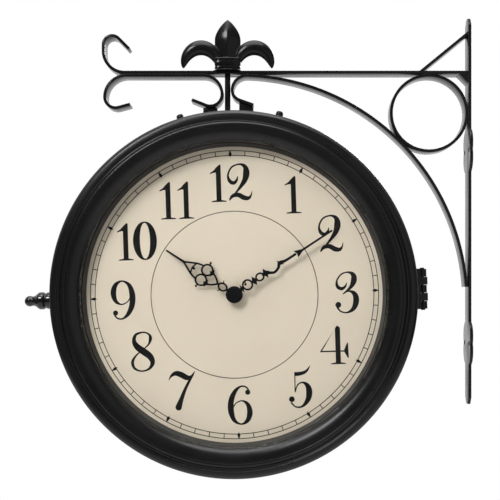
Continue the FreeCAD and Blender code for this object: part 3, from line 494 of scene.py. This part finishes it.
clear_glass = bpy.data.materials.new("clear_glass")
clear_glass.use_nodes = True
glass_tree = clear_glass.node_tree
glass_shader = glass_tree.nodes["Principled BSDF"]
glass_shader.inputs["Transmission Weight"].default_value = 1
glass_shader.inputs["IOR"].default_value = 1.15
glass_grain = glass_tree.nodes.new("ShaderNodeGroup")
glass_grain.node_tree = surface_grain
glass_grain.inputs["Patch size"].default_value = 14
wiped = glass_tree.nodes.new("ShaderNodeMapRange")
wiped.inputs["From Min"].default_value = 0.55
wiped.inputs["From Max"].default_value = 0.8
wiped.inputs["To Max"].default_value = 0.02
tint = glass_tree.nodes.new("ShaderNodeMix")
tint.data_type = "RGBA"
tint.inputs[mix_a].default_value = (0.985, 0.995, 0.99, 1)
tint.inputs[mix_b].default_value = (0.975, 0.985, 0.98, 1)
through = glass_tree.nodes.new("ShaderNodeBsdfTransparent")
light_path = glass_tree.nodes.new("ShaderNodeLightPath")
let_light_in = glass_tree.nodes.new("ShaderNodeMixShader")
glass_tree.links.new(glass_grain.outputs["Patches"], wiped.inputs["Value"])
glass_tree.links.new(wiped.outputs["Result"], glass_shader.inputs["Roughness"])
glass_tree.links.new(glass_grain.outputs["Patches"], tint.inputs[0])
glass_tree.links.new(tint.outputs[mix_out], glass_shader.inputs["Base Color"])
glass_tree.links.new(light_path.outputs["Is Shadow Ray"], let_light_in.inputs[0])
glass_tree.links.new(glass_shader.outputs[0], let_light_in.inputs[1])
glass_tree.links.new(through.outputs[0], let_light_in.inputs[2])
glass_tree.links.new(let_light_in.outputs[0], glass_tree.nodes["Material Output"].inputs["Surface"])
for face in ("front", "rear"):
    painted(face + "_lens", clear_glass)

# ---------------------------------------------------------------- dials
# Sheet steel disc with cream enamel on both sides, faintly clouded and flecked. Four clips hold it
# against the reveal ring.

dial_cream = finish("dial_cream", (0.76, 0.667, 0.536), (0.715, 0.618, 0.483), (0.60, 0.49, 0.35),
                    (0.42, 0.55), patch_size=16, grain_size=500, grain_depth=0.08, specular=0.3)
for face in ("front", "rear"):
    painted(face + "_dial", dial_cream)

# ---------------------------------------------------------------- dial printing
# Screen printed in black on the enamel: a minute track, a thin inner circle and upright numerals with
# thick and thin strokes, as a printer cuts them. The ink lies a hair above the dial.

dial_face = 25.0
ink_lift = 0.03
track_outer = 150.6
track_inner = 145.7
track_line = 0.85
tick_width = 0.85
wedge_length = 3.2
wedge_width = 3.4
wedge_point = 0.8
wedge_set_back = 1.2
inner_circle = 87.3
circle_line = 0.8
hairline = 0.35
least_patch = 0.002
ink_weld = 0.001
dial_ink = finish("dial_ink", (0.006, 0.006, 0.006), (0.010, 0.0095, 0.009), (0.03, 0.028, 0.025),
                  (0.50, 0.62), patch_size=60, grain_size=900, grain_depth=0.05, specular=0.12)


def merged(patches):
    """Points and triangles of the shape that overlapping patches cover, each a ring of (x, up) in mm."""
    points = []
    rings = []
    for patch in patches:
        area = sum(before[0] * after[1] - after[0] * before[1]
                   for before, after in zip(patch, patch[1:] + patch[:1]))
        if abs(area) > least_patch:
            rings.append(tuple(range(len(points), len(points) + len(patch))))
            points += [Vector(point) for point in (patch if area > 0 else patch[::-1])]
    corners, _, triangles, _, _, _ = delaunay_2d_cdt(points, [], rings, 1, ink_weld)
    middles = np.array([corner[:] for corner in corners])[np.array(triangles)].mean(axis=1)
    covered = np.zeros(len(triangles), dtype=bool)
    for patch in patches:
        within = np.zeros(len(triangles), dtype=bool)
        for (x1, up1), (x2, up2) in zip(patch, patch[1:] + patch[:1]):
            if up1 != up2:
                beside = middles[:, 0] < x1 + (x2 - x1) * (middles[:, 1] - up1) / (up2 - up1)
                within ^= beside & ((up1 > middles[:, 1]) != (up2 > middles[:, 1]))
        covered |= within
    return corners, [triangle for triangle, inked in zip(triangles, covered) if inked]


def printed(name, face, patches):
    """Flat ink on a dial, from patches of (x, up) points in mm from its middle."""
    corners, triangles = merged(patches)
    mesh = bpy.data.meshes.new(name)
    mesh.from_pydata([face_place[face] @ (Vector((x, -dial_face - ink_lift, up)) * mm) for x, up in corners],
                     [], triangles)
    piece = new_piece(name, mesh, dial_ink)
    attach(piece, face_body[face])


def inked_ring(radius, width, steps=240):
    """Thin printed circle whose line is centred on the radius."""
    patches = []
    for step in range(steps):
        before = math.tau * step / steps
        after = math.tau * (step + 1) / steps
        patches.append([(edge * math.sin(turn), edge * math.cos(turn)) for edge, turn in (
            (radius - width / 2, before), (radius + width / 2, before),
            (radius + width / 2, after), (radius - width / 2, after))])
    return patches


def pen_stroke(points, closed=False, steps=8):
    """Patches of a stroke through (x, up, width) points, bent smoothly from one to the next."""
    count = len(points)
    spans = count if closed else count - 1
    track = []
    for index in range(spans):
        near = [points[(index + shift) % count] if closed else points[min(max(index + shift, 0), count - 1)]
                for shift in (-1, 0, 1, 2)]
        for step in range(steps):
            share = step / steps
            track.append([0.5 * (2 * b + (c - a) * share + (2 * a - 5 * b + 4 * c - d) * share ** 2
                                 + (3 * b - a - 3 * c + d) * share ** 3) for a, b, c, d in zip(*near)])
    if not closed:
        track.append(list(points[-1]))
    edges = []
    for index, (x, up, width) in enumerate(track):
        after = track[(index + 1) % len(track)] if closed or index + 1 < len(track) else track[index]
        before = track[index - 1] if closed or index > 0 else track[index]
        along = Vector((after[0] - before[0], after[1] - before[1])).normalized()
        half = max(width, hairline) / 2
        edges.append(((x - along.y * half, up + along.x * half), (x + along.y * half, up - along.x * half)))
    patches = []
    for index in range(len(edges) if closed else len(edges) - 1):
        left, right = edges[index]
        next_left, next_right = edges[(index + 1) % len(edges)]
        patches += [[left, right, next_right], [left, next_right, next_left]]
    return patches


def ball(x, up, radius, steps=24):
    turns = [math.tau * step / steps for step in range(steps)]
    return [[(x + radius * math.cos(turn), up + radius * math.sin(turn)) for turn in turns]]


def serif(x, up, half_width, stem, foot=1.0, bracket=2.0):
    """Thin foot with a bracket up to the stem."""
    return [[(x - half_width, up), (x + half_width, up), (x + half_width, up + foot),
             (x + stem / 2, up + bracket), (x - stem / 2, up + bracket), (x - half_width, up + foot)]]


def numeral_one():
    return [[(-2.6, -19), (2.6, -19), (2.6, 18.6), (1.3, 19.2), (-2.6, 14.6)],
            [(1.3, 19.2), (-2.2, 16.2), (-5.2, 12.8), (-9.0, 10.4), (-8.6, 9.4), (-5.0, 10.6), (-2.3, 10.8)],
            ] + serif(0, -20, 7.8, 5.2)


def numeral_two():
    return (pen_stroke([(-1.6, 6.4, 0.7), (-2.6, 2.4, 2.5), (-6.0, -0.6, 3.8), (-10.2, 1.8, 3.6),
                        (-11.6, 8.2, 2.0), (-7.5, 16.0, 1.8), (0.5, 18.8, 1.9), (6.2, 16.2, 4.4),
                        (7.6, 9.5, 6.8), (5.4, 1.5, 5.3), (-1.5, -8.0, 2.5), (-11.0, -18.6, 1.2)])
            + pen_stroke([(-11.0, -18.8, 1.1), (-7.4, -14.2, 3.7), (-1.5, -13.2, 4.8), (4.2, -16.2, 5.1),
                          (9.0, -16.8, 3.9), (11.8, -14.0, 1.8), (12.9, -9.6, 0.6)]))


def numeral_three():
    return (pen_stroke([(0.6, 10.4, 0.7), (-1.4, 6.2, 2.3), (-5.2, 4.2, 3.6), (-9.4, 6.8, 3.4),
                        (-9.6, 13.0, 1.8), (-5.0, 19.2, 1.6), (2.0, 21.2, 1.8), (7.4, 18.4, 4.8),
                        (8.0, 12.4, 6.2), (4.4, 5.4, 3.5), (-3.8, -1.6, 1.1)])
            + pen_stroke([(-3.8, -1.6, 1.0), (2.2, 1.4, 1.6), (8.0, -1.2, 4.7), (9.9, -8.0, 6.3),
                          (7.2, -16.4, 4.7), (0.5, -20.8, 1.9), (-6.4, -19.6, 1.6), (-10.2, -15.0, 2.0)])
            + ball(-9.0, -12.6, 3.1))


def numeral_four():
    return [[(1.3, -19.4), (6.6, -19.4), (6.6, 17.8), (3.8, 20.2), (1.3, 17.2)],
            [(3.8, 20.2), (1.4, 17.0), (-12.8, -6.2), (-14.6, -6.2)],
            [(-14.8, -7.5), (14.4, -7.5), (14.4, -6.0), (-14.6, -6.0)],
            [(13.4, 1.6), (14.6, 1.9), (15.0, -14.2), (13.8, -13.8), (10.2, -7.3), (10.2, -6.0)],
            ] + serif(3.9, -20.4, 7.8, 5.3)


def numeral_five():
    return (pen_stroke([(-5.0, 13.4, 4.2), (-0.5, 13.6, 4.0), (5.0, 15.0, 3.3), (8.6, 18.0, 2.1),
                        (10.9, 21.8, 0.6)])
            + [[(-5.9, -5.6), (-4.8, -5.6), (-4.6, 15.6), (-5.7, 15.6)]]
            + pen_stroke([(-5.3, -5.6, 1.0), (-2.6, 1.8, 1.4), (2.6, 4.4, 1.8), (7.6, 1.2, 4.7),
                          (9.4, -5.6, 6.5), (7.6, -14.0, 5.1), (1.6, -20.6, 2.3), (-5.2, -20.8, 1.5),
                          (-9.8, -16.2, 1.8)])
            + ball(-9.0, -12.8, 3.0))


def bowl_and_tail(way):
    """The six, and turned half round the nine."""
    return (pen_stroke([(way * x, way * up, width) for x, up, width in (
                (9.4, 15.6, 1.6), (6.2, 19.2, 1.7), (0.6, 19.4, 2.0), (-5.2, 14.2, 4.3), (-9.2, 5.0, 5.9),
                (-9.6, -6.0, 6.1), (-6.4, -15.6, 3.9), (0.6, -19.7, 1.7), (7.2, -16.2, 4.3),
                (10.0, -8.0, 5.9), (8.1, 0.6, 4.1), (2.4, 4.6, 1.6), (-4.0, 2.4, 1.2), (-8.0, -3.4, 1.1))])
            + ball(way * 8.4, way * 13.4, 2.7))


def numeral_seven():
    return (pen_stroke([(-13.6, 11.0, 0.6), (-11.0, 15.4, 2.5), (-6.2, 18.0, 4.9), (-0.5, 16.4, 6.0),
                        (5.4, 13.2, 5.5), (10.0, 14.2, 3.2), (13.8, 19.8, 0.6)])
            + pen_stroke([(13.2, 18.4, 0.6), (9.0, 11.8, 2.5), (3.4, 1.6, 3.2), (-1.2, -9.4, 4.6),
                          (-3.9, -16.4, 6.4)])
            + ball(-4.3, -17.6, 3.3))


def numeral_eight():
    return pen_stroke([(8.6, 13.6, 3.5), (7.0, 18.0, 2.1), (1.4, 20.2, 1.6), (-6.4, 18.0, 2.8),
                       (-8.6, 11.4, 4.4), (-5.4, 5.2, 6.4), (1.0, 0.2, 7.2), (7.4, -5.0, 6.6),
                       (10.1, -11.6, 4.8), (6.4, -18.0, 2.6), (-1.6, -20.3, 1.6), (-8.8, -17.2, 2.6),
                       (-10.8, -10.6, 3.1), (-7.0, -4.0, 1.9), (0.5, 2.2, 1.2), (6.4, 7.4, 1.9)],
                      closed=True)


def numeral_nought(half_width=8.9, half_height=19.4, thin=1.5, swell=5.7, fullness=1.4, steps=12):
    """Oval with thick sides and thin ends."""
    turns = [math.tau * step / steps for step in range(steps)]
    return pen_stroke([(half_width * math.cos(turn), half_height * math.sin(turn),
                        thin + swell * abs(math.cos(turn)) ** fullness) for turn in turns], closed=True)


# Where each figure stands on the dial, in mm across and up from the middle.
figures = [
    (numeral_one(), -13.0, 117.4), (numeral_two(), 8.7, 117.4),
    (numeral_one(), 64.9, 103.0), (numeral_two(), 102.2, 60.7), (numeral_three(), 117.1, -1.4),
    (numeral_four(), 102.4, -55.6), (numeral_five(), 65.5, -98.3), (bowl_and_tail(1), 2.2, -115.7),
    (numeral_seven(), -57.8, -98.3), (numeral_eight(), -97.9, -56.5), (bowl_and_tail(-1), -116.5, -1.8),
    (numeral_one(), -112.0, 59.3), (numeral_nought(), -91.8, 59.3),
    (numeral_one(), -66.3, 100.9), (numeral_one(), -47.5, 100.9),
]

for face in ("front", "rear"):
    track = inked_ring(track_outer, track_line) + inked_ring(track_inner, track_line)
    for minute in range(60):
        turn = math.tau * minute / 60
        outward = Vector((math.sin(turn), math.cos(turn)))
        sidestep = Vector((outward.y, -outward.x))
        if minute % 5:
            half = sidestep * tick_width / 2
            track.append([outward * track_inner - half, outward * track_inner + half,
                          outward * track_outer + half, outward * track_outer - half])
        else:
            half = sidestep * wedge_width / 2
            end = sidestep * wedge_point / 2
            track.append([outward * (track_inner - wedge_length + wedge_set_back),
                          outward * (track_inner + 1) + half, outward * track_outer + end,
                          outward * track_outer - end, outward * (track_inner + 1) - half])
    printed(face + "_minute_track", face, track)
    printed(face + "_inner_circle", face, inked_ring(inner_circle, circle_line))
    printed(face + "_numerals", face, [[(x + across, height + up) for x, height in patch]
                                       for figure, across, up in figures for patch in figure])

# ---------------------------------------------------------------- hands and centre
# Pierced hands stamped from thin sheet, each on its turned pipe or arbor, and dipped in black enamel. The
# threaded bush of the movement comes through the dial and has a plain brass nut on it.

hand_enamel = finish("hand_enamel", (0.005, 0.005, 0.0055), (0.008, 0.008, 0.0085), (0.013, 0.013, 0.013),
                     (0.28, 0.40), patch_size=90, grain_size=1100, grain_depth=0.1, specular=0.12)
hand_brass = finish("hand_brass", (0.66, 0.47, 0.20), (0.56, 0.38, 0.15), (0.30, 0.20, 0.09),
                    (0.26, 0.42), patch_size=140, grain_size=1500, grain_depth=0.1, metallic=1.0)
hand_sheet = 0.8
hand_line = 1.9
spike_waist = 0.38
arbor_radius = 1.6
arbor_back = 20.2
pipe_bore = 1.65
pipe_radius = 2.6
pipe_back = 21.0
hub_radius = 8.2
cap_radius = 8.9
hour_depth = 29.0
minute_depth = 31.4
hour_angle = math.radians(304.9)
minute_angle = math.radians(58.5)


def star(x, up, half_width, half_height):
    """Spiked knot with four points."""
    left, right = x - half_width * spike_waist, x + half_width * spike_waist
    low, high = up - half_height * spike_waist, up + half_height * spike_waist
    return [[(x + half_width, up), (right, high), (x, up + half_height), (left, high)],
            [(x - half_width, up), (left, low), (x, up - half_height), (right, low)],
            [(x + half_width, up), (left, high), (x - half_width, up), (right, low)]]


def eye(x, up, half_width, half_height, steps=8):
    """Pierced round, measured to the middle of its line."""
    turns = [math.tau * step / steps for step in range(steps)]
    return pen_stroke([(x + half_width * math.cos(turn), up + half_height * math.sin(turn), hand_line)
                       for turn in turns], closed=True)


def hour_outline():
    """Small eye, a fork with two knots, a pair of eyes with beads, an open almond and a needle."""
    hub = inked_ring((pipe_bore + hub_radius) / 2, hub_radius - pipe_bore, 48)
    patches = (hub + pen_stroke([(0, 6, 3.4), (0, 10.5, 2.6)]) + eye(0, 14.6, 3.7, 4.6)
               + pen_stroke([(0, 18.6, 2.4), (0, 22, 2.2)])
               + pen_stroke([(-6.2, 50.4, 1.5), (0, 52.2, 1.5), (6.2, 50.4, 1.5)]) + ball(0, 50.4, 1.5)
               + pen_stroke([(0, 60.5, 3.0), (0, 66, 2.4), (0, 84, 1.9)]) + ball(0, 83.9, 0.95))
    for way in (-1, 1):
        patches += pen_stroke([(way * 3.2, 15.6, 1.7), (way * 6.6, 17.2, 0.6)])
        patches += pen_stroke([(0, 20.6, 2.2), (way * 3.4, 24.4, 1.9), (way * 5.7, 28.2, 1.9),
                               (way * 6.3, 32, 2.2)])
        patches += star(way * 6.3, 31.4, 4.6, 3.4)
        patches += eye(way * 6.1, 37.6, 5.7, 5.7)
        patches += pen_stroke([(way * 11.6, 38.0, 1.5), (way * 14.2, 38.6, 1.1)])
        patches += ball(way * 14.2, 38.6, 1.2)
        patches += pen_stroke([(way * 8.0, 43.0, 1.7), (way * 6.6, 49.0, 2.0), (way * 3.4, 56.0, 2.0),
                               (0, 63.0, 1.9)])
    return patches


def minute_outline():
    """Spiked neck, an eye, a block knot, a loop, a spiked knot, a winding stem, a barb and a needle."""
    return (ball(0, 0, 8.6) + pen_stroke([(0, 6, 3.6), (-0.5, 12.2, 2.8)]) + star(-0.8, 10.2, 5.0, 2.6)
            + eye(-1.0, 17.2, 5.0, 5.0) + ball(-2.6, 15.6, 1.3)
            + pen_stroke([(-5.6, 17.0, 1.2), (-2.6, 15.8, 1.0)])
            + star(-0.6, 25.4, 5.4, 4.4) + [[(-3.4, 23.8), (2.4, 23.4), (2.2, 27.0), (-3.2, 27.2)]]
            + eye(-0.8, 32.4, 3.7, 4.2) + star(-0.8, 39.4, 5.6, 4.8) + ball(-0.8, 39.2, 2.6)
            + pen_stroke([(-0.8, 40.0, 3.6), (1.4, 43.6, 3.0), (3.5, 48.0, 2.7), (1.8, 53.6, 2.9),
                          (-1.8, 57.6, 3.6), (-0.5, 63.0, 3.0), (-0.3, 70.0, 2.6), (-0.3, 77.0, 2.6)])
            + pen_stroke([(-1.2, 57.4, 3.2), (-5.0, 56.2, 0.6)])
            + pen_stroke([(-1.2, 57.2, 3.0), (1.6, 60.8, 0.6)])
            + [[(-4.2, 76.2), (0, 78.0), (4.2, 76.8), (0, 87.5)]]
            + pen_stroke([(0, 78, 2.6), (0, 90, 2.3), (0, 121, 2.0)]) + ball(0, 120.9, 1.0))


def part_of_hand(piece, node):
    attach(piece, node)
    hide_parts(node)


def stamped(name, node, patches, depth, place):
    """Blade of a hand, cut from sheet, with its back this far out from the middle of the case."""
    corners, triangles = merged(patches)
    count = len(corners)
    outline = {}
    for triangle in triangles:
        for index in range(3):
            edge = (triangle[index], triangle[(index + 1) % 3])
            if edge[::-1] in outline:
                del outline[edge[::-1]]
            else:
                outline[edge] = True
    points = [place @ (Vector((x, -level, up)) * mm)
              for level in (depth + hand_sheet, depth) for x, up in corners]
    front = [tuple(triangle) for triangle in triangles]
    back = [tuple(count + index for index in triangle[::-1]) for triangle in triangles]
    sides = [(end, start, count + start, count + end) for start, end in outline]
    mesh = bpy.data.meshes.new(name)
    mesh.from_pydata(points, [], front + back + sides)
    part_of_hand(new_piece(name, mesh, hand_enamel), node)


pipe_front = hour_depth + hand_sheet / 2
pipe_section = [(pipe_bore, pipe_back), (pipe_radius, pipe_back), (pipe_radius, pipe_front),
                (pipe_bore, pipe_front)]
cap_back = minute_depth + hand_sheet / 2
cap_front = cap_back + 1.6
arbor_section = [(0, arbor_back), (arbor_radius, arbor_back), (arbor_radius, cap_back),
                 (cap_radius, cap_back), (cap_radius, 32.6), (8.4, 33.0), (7.4, 33.0), (7.1, 33.35),
                 (5.6, cap_front), (0, cap_front)]
for face in ("front", "rear"):
    hour_place = face_place[face] @ Matrix.Rotation(hour_angle, 4, "Y")
    minute_place = face_place[face] @ Matrix.Rotation(minute_angle, 4, "Y")
    stamped(face + "_hour_blade", face + "_hour_hand", hour_outline(), hour_depth, hour_place)
    part_of_hand(turned(face + "_hour_pipe", pipe_section, hour_place, hand_enamel, steps=48),
                 face + "_hour_hand")
    stamped(face + "_minute_blade", face + "_minute_hand", minute_outline(), minute_depth, minute_place)
    part_of_hand(turned(face + "_minute_arbor", arbor_section, minute_place, hand_enamel, steps=48),
                 face + "_minute_hand")
    painted(face + "_hand_nut", hand_brass)

# ---------------------------------------------------------------- movements
# Sealed quartz movement in moulded black plastic behind each dial, with its setting wheel and one dry
# cell in a plain sleeve.

movement_plastic = finish("movement_plastic", (0.028, 0.028, 0.030), (0.036, 0.036, 0.038),
                          (0.07, 0.07, 0.07), (0.42, 0.58), patch_size=45, grain_size=1300,
                          grain_depth=0.4, specular=0.45)
cell_sleeve = finish("cell_sleeve", (0.10, 0.13, 0.17), (0.12, 0.15, 0.19), (0.20, 0.22, 0.24),
                     (0.22, 0.34), patch_size=80, grain_size=1000, grain_depth=0.05, specular=0.5)
for face in ("front", "rear"):
    painted(face + "_movement", movement_plastic)
    painted(face + "_set_wheel", movement_plastic)
    painted(face + "_battery", cell_sleeve)

# ---------------------------------------------------------------- studio
# White surroundings, a pale floor well below the clock and four soft lamps: the main one high on the left
# in front, a weak one low on the right, one above and one behind that lights the rear dial. What the
# paint mirrors is white behind and above the clock, and a dim room in front of it.

floor_level = -0.9
floor_left, floor_right = -2.4, 2.0
floor_near, floor_far = -2.4, 2.4
floor_mesh = bpy.data.meshes.new("floor")
floor_mesh.from_pydata([(floor_left, floor_near, floor_level), (floor_right, floor_near, floor_level),
                        (floor_right, floor_far, floor_level), (floor_left, floor_far, floor_level)],
                       [], [(0, 1, 2, 3)])
floor_tone = finish("floor_tone", (0.80, 0.80, 0.79), (0.84, 0.84, 0.83), (0.78, 0.78, 0.77),
                    (0.6, 0.7), patch_size=1.5, grain_size=90, grain_depth=0.05, specular=0.2)


def joined(tree, operation, first, second):
    """Output of a Math node fed by a socket and by another socket or a number."""
    node = tree.nodes.new("ShaderNodeMath")
    node.operation = operation
    tree.links.new(first, node.inputs[0])
    if isinstance(second, float):
        node.inputs[1].default_value = second
    else:
        tree.links.new(second, node.inputs[1])
    return node.outputs[0]


# The floor glows paler than the lamps make it: evenly to the camera and through glass, and in reflections
# with a painted glow that is brightest at the back.
floor_paleness = 0.8
floor_tree = floor_tone.node_tree
floor_ray = floor_tree.nodes.new("ShaderNodeLightPath")
floor_place = floor_tree.nodes.new("ShaderNodeTexCoord")
floor_axes = floor_tree.nodes.new("ShaderNodeSeparateXYZ")
# painted glow that the paint reflects, ramped from dim at the front of the floor to bright at the back
reflected_glow_ramp = floor_tree.nodes.new("ShaderNodeMapRange")
reflected_glow_ramp.inputs["From Min"].default_value = -0.6
reflected_glow_ramp.inputs["From Max"].default_value = 0.8
reflected_glow_ramp.inputs["To Min"].default_value = 0.1
floor_glow = floor_tree.nodes.new("ShaderNodeEmission")
seen_floor = floor_tree.nodes.new("ShaderNodeMixShader")
floor_tree.links.new(floor_place.outputs["Object"], floor_axes.inputs[0])
floor_tree.links.new(floor_axes.outputs["Y"], reflected_glow_ramp.inputs["Value"])
reflected_glow = joined(floor_tree, "MULTIPLY", floor_ray.outputs["Is Glossy Ray"],
                        reflected_glow_ramp.outputs["Result"])
pale_floor = joined(floor_tree, "MAXIMUM", floor_ray.outputs["Is Camera Ray"], reflected_glow)
pale_floor = joined(floor_tree, "MAXIMUM", pale_floor, floor_ray.outputs["Is Transmission Ray"])
floor_tree.links.new(joined(floor_tree, "MULTIPLY", pale_floor, floor_paleness), seen_floor.inputs[0])
floor_tree.links.new(floor_tree.nodes["Principled BSDF"].outputs[0], seen_floor.inputs[1])
floor_tree.links.new(floor_glow.outputs[0], seen_floor.inputs[2])
floor_tree.links.new(seen_floor.outputs[0], floor_tree.nodes["Material Output"].inputs["Surface"])
floor = new_piece("floor", floor_mesh, floor_tone)


def lamp(name, place, target, power, width):
    light = bpy.data.lights.new(name, "AREA")
    light.energy = power
    light.shape = "DISK"
    light.size = width
    holder = bpy.data.objects.new(name, light)
    scene.collection.objects.link(holder)
    holder.location = place
    holder.rotation_euler = (Vector(target) - Vector(place)).to_track_quat("-Z", "Y").to_euler()


lamp("key_lamp", (-1.05, -1.25, 1.05), case_centre, 13.0, 0.55)
lamp("fill_lamp", (0.9, -1.6, -0.1), case_centre, 3.6, 2.4)
lamp("top_lamp", (-0.3, -0.35, 1.1), case_centre, 9, 1.0)
lamp("rear_lamp", (0.5, 1.6, 0.9), case_centre, 13, 0.6)

studio = bpy.data.worlds.new("studio")
scene.world = studio
studio.use_nodes = True
studio_tree = studio.node_tree
backdrop = studio_tree.nodes["Background"]
ray = studio_tree.nodes.new("ShaderNodeLightPath")
around = studio_tree.nodes.new("ShaderNodeTexCoord")
behind_and_above = studio_tree.nodes.new("ShaderNodeVectorMath")
behind_and_above.operation = "DOT_PRODUCT"
behind_and_above.inputs[1].default_value = (0, 0.78, 0.62)
room = studio_tree.nodes.new("ShaderNodeMapRange")
room.interpolation_type = "SMOOTHSTEP"
room.inputs["From Max"].default_value = 0.75
room.inputs["To Min"].default_value = 0.07
mirrored = studio_tree.nodes.new("ShaderNodeMix")
mirrored.data_type = "RGBA"
mirrored.inputs[mix_a].default_value = (1, 1, 1, 1)
tone = studio_tree.nodes.new("ShaderNodeMix")
tone.data_type = "RGBA"
tone.inputs[mix_a].default_value = (0.36, 0.36, 0.37, 1)
seen = joined(studio_tree, "MAXIMUM", ray.outputs["Is Camera Ray"], ray.outputs["Is Glossy Ray"])
seen = joined(studio_tree, "MAXIMUM", seen, ray.outputs["Is Transmission Ray"])
studio_tree.links.new(around.outputs["Generated"], behind_and_above.inputs[0])
studio_tree.links.new(behind_and_above.outputs["Value"], room.inputs["Value"])
studio_tree.links.new(ray.outputs["Is Glossy Ray"], mirrored.inputs[0])
studio_tree.links.new(room.outputs["Result"], mirrored.inputs[mix_b])
studio_tree.links.new(mirrored.outputs[mix_out], tone.inputs[mix_b])
studio_tree.links.new(seen, tone.inputs[0])
studio_tree.links.new(tone.outputs[mix_out], backdrop.inputs["Color"])
scene.view_settings.view_transform = "Standard"

# The camera stands where the photograph was taken from.
camera = bpy.data.objects.new("camera", bpy.data.cameras.new("camera"))
scene.collection.objects.link(camera)
camera.location = (-0.2062, -1.110, -0.0534)
camera.rotation_euler = (math.pi / 2, 0, 0)
camera.data.lens = 74.7
camera.data.sensor_width = 36
camera.data.shift_x = -0.054
camera.data.shift_y = 0.094
scene.camera = camera
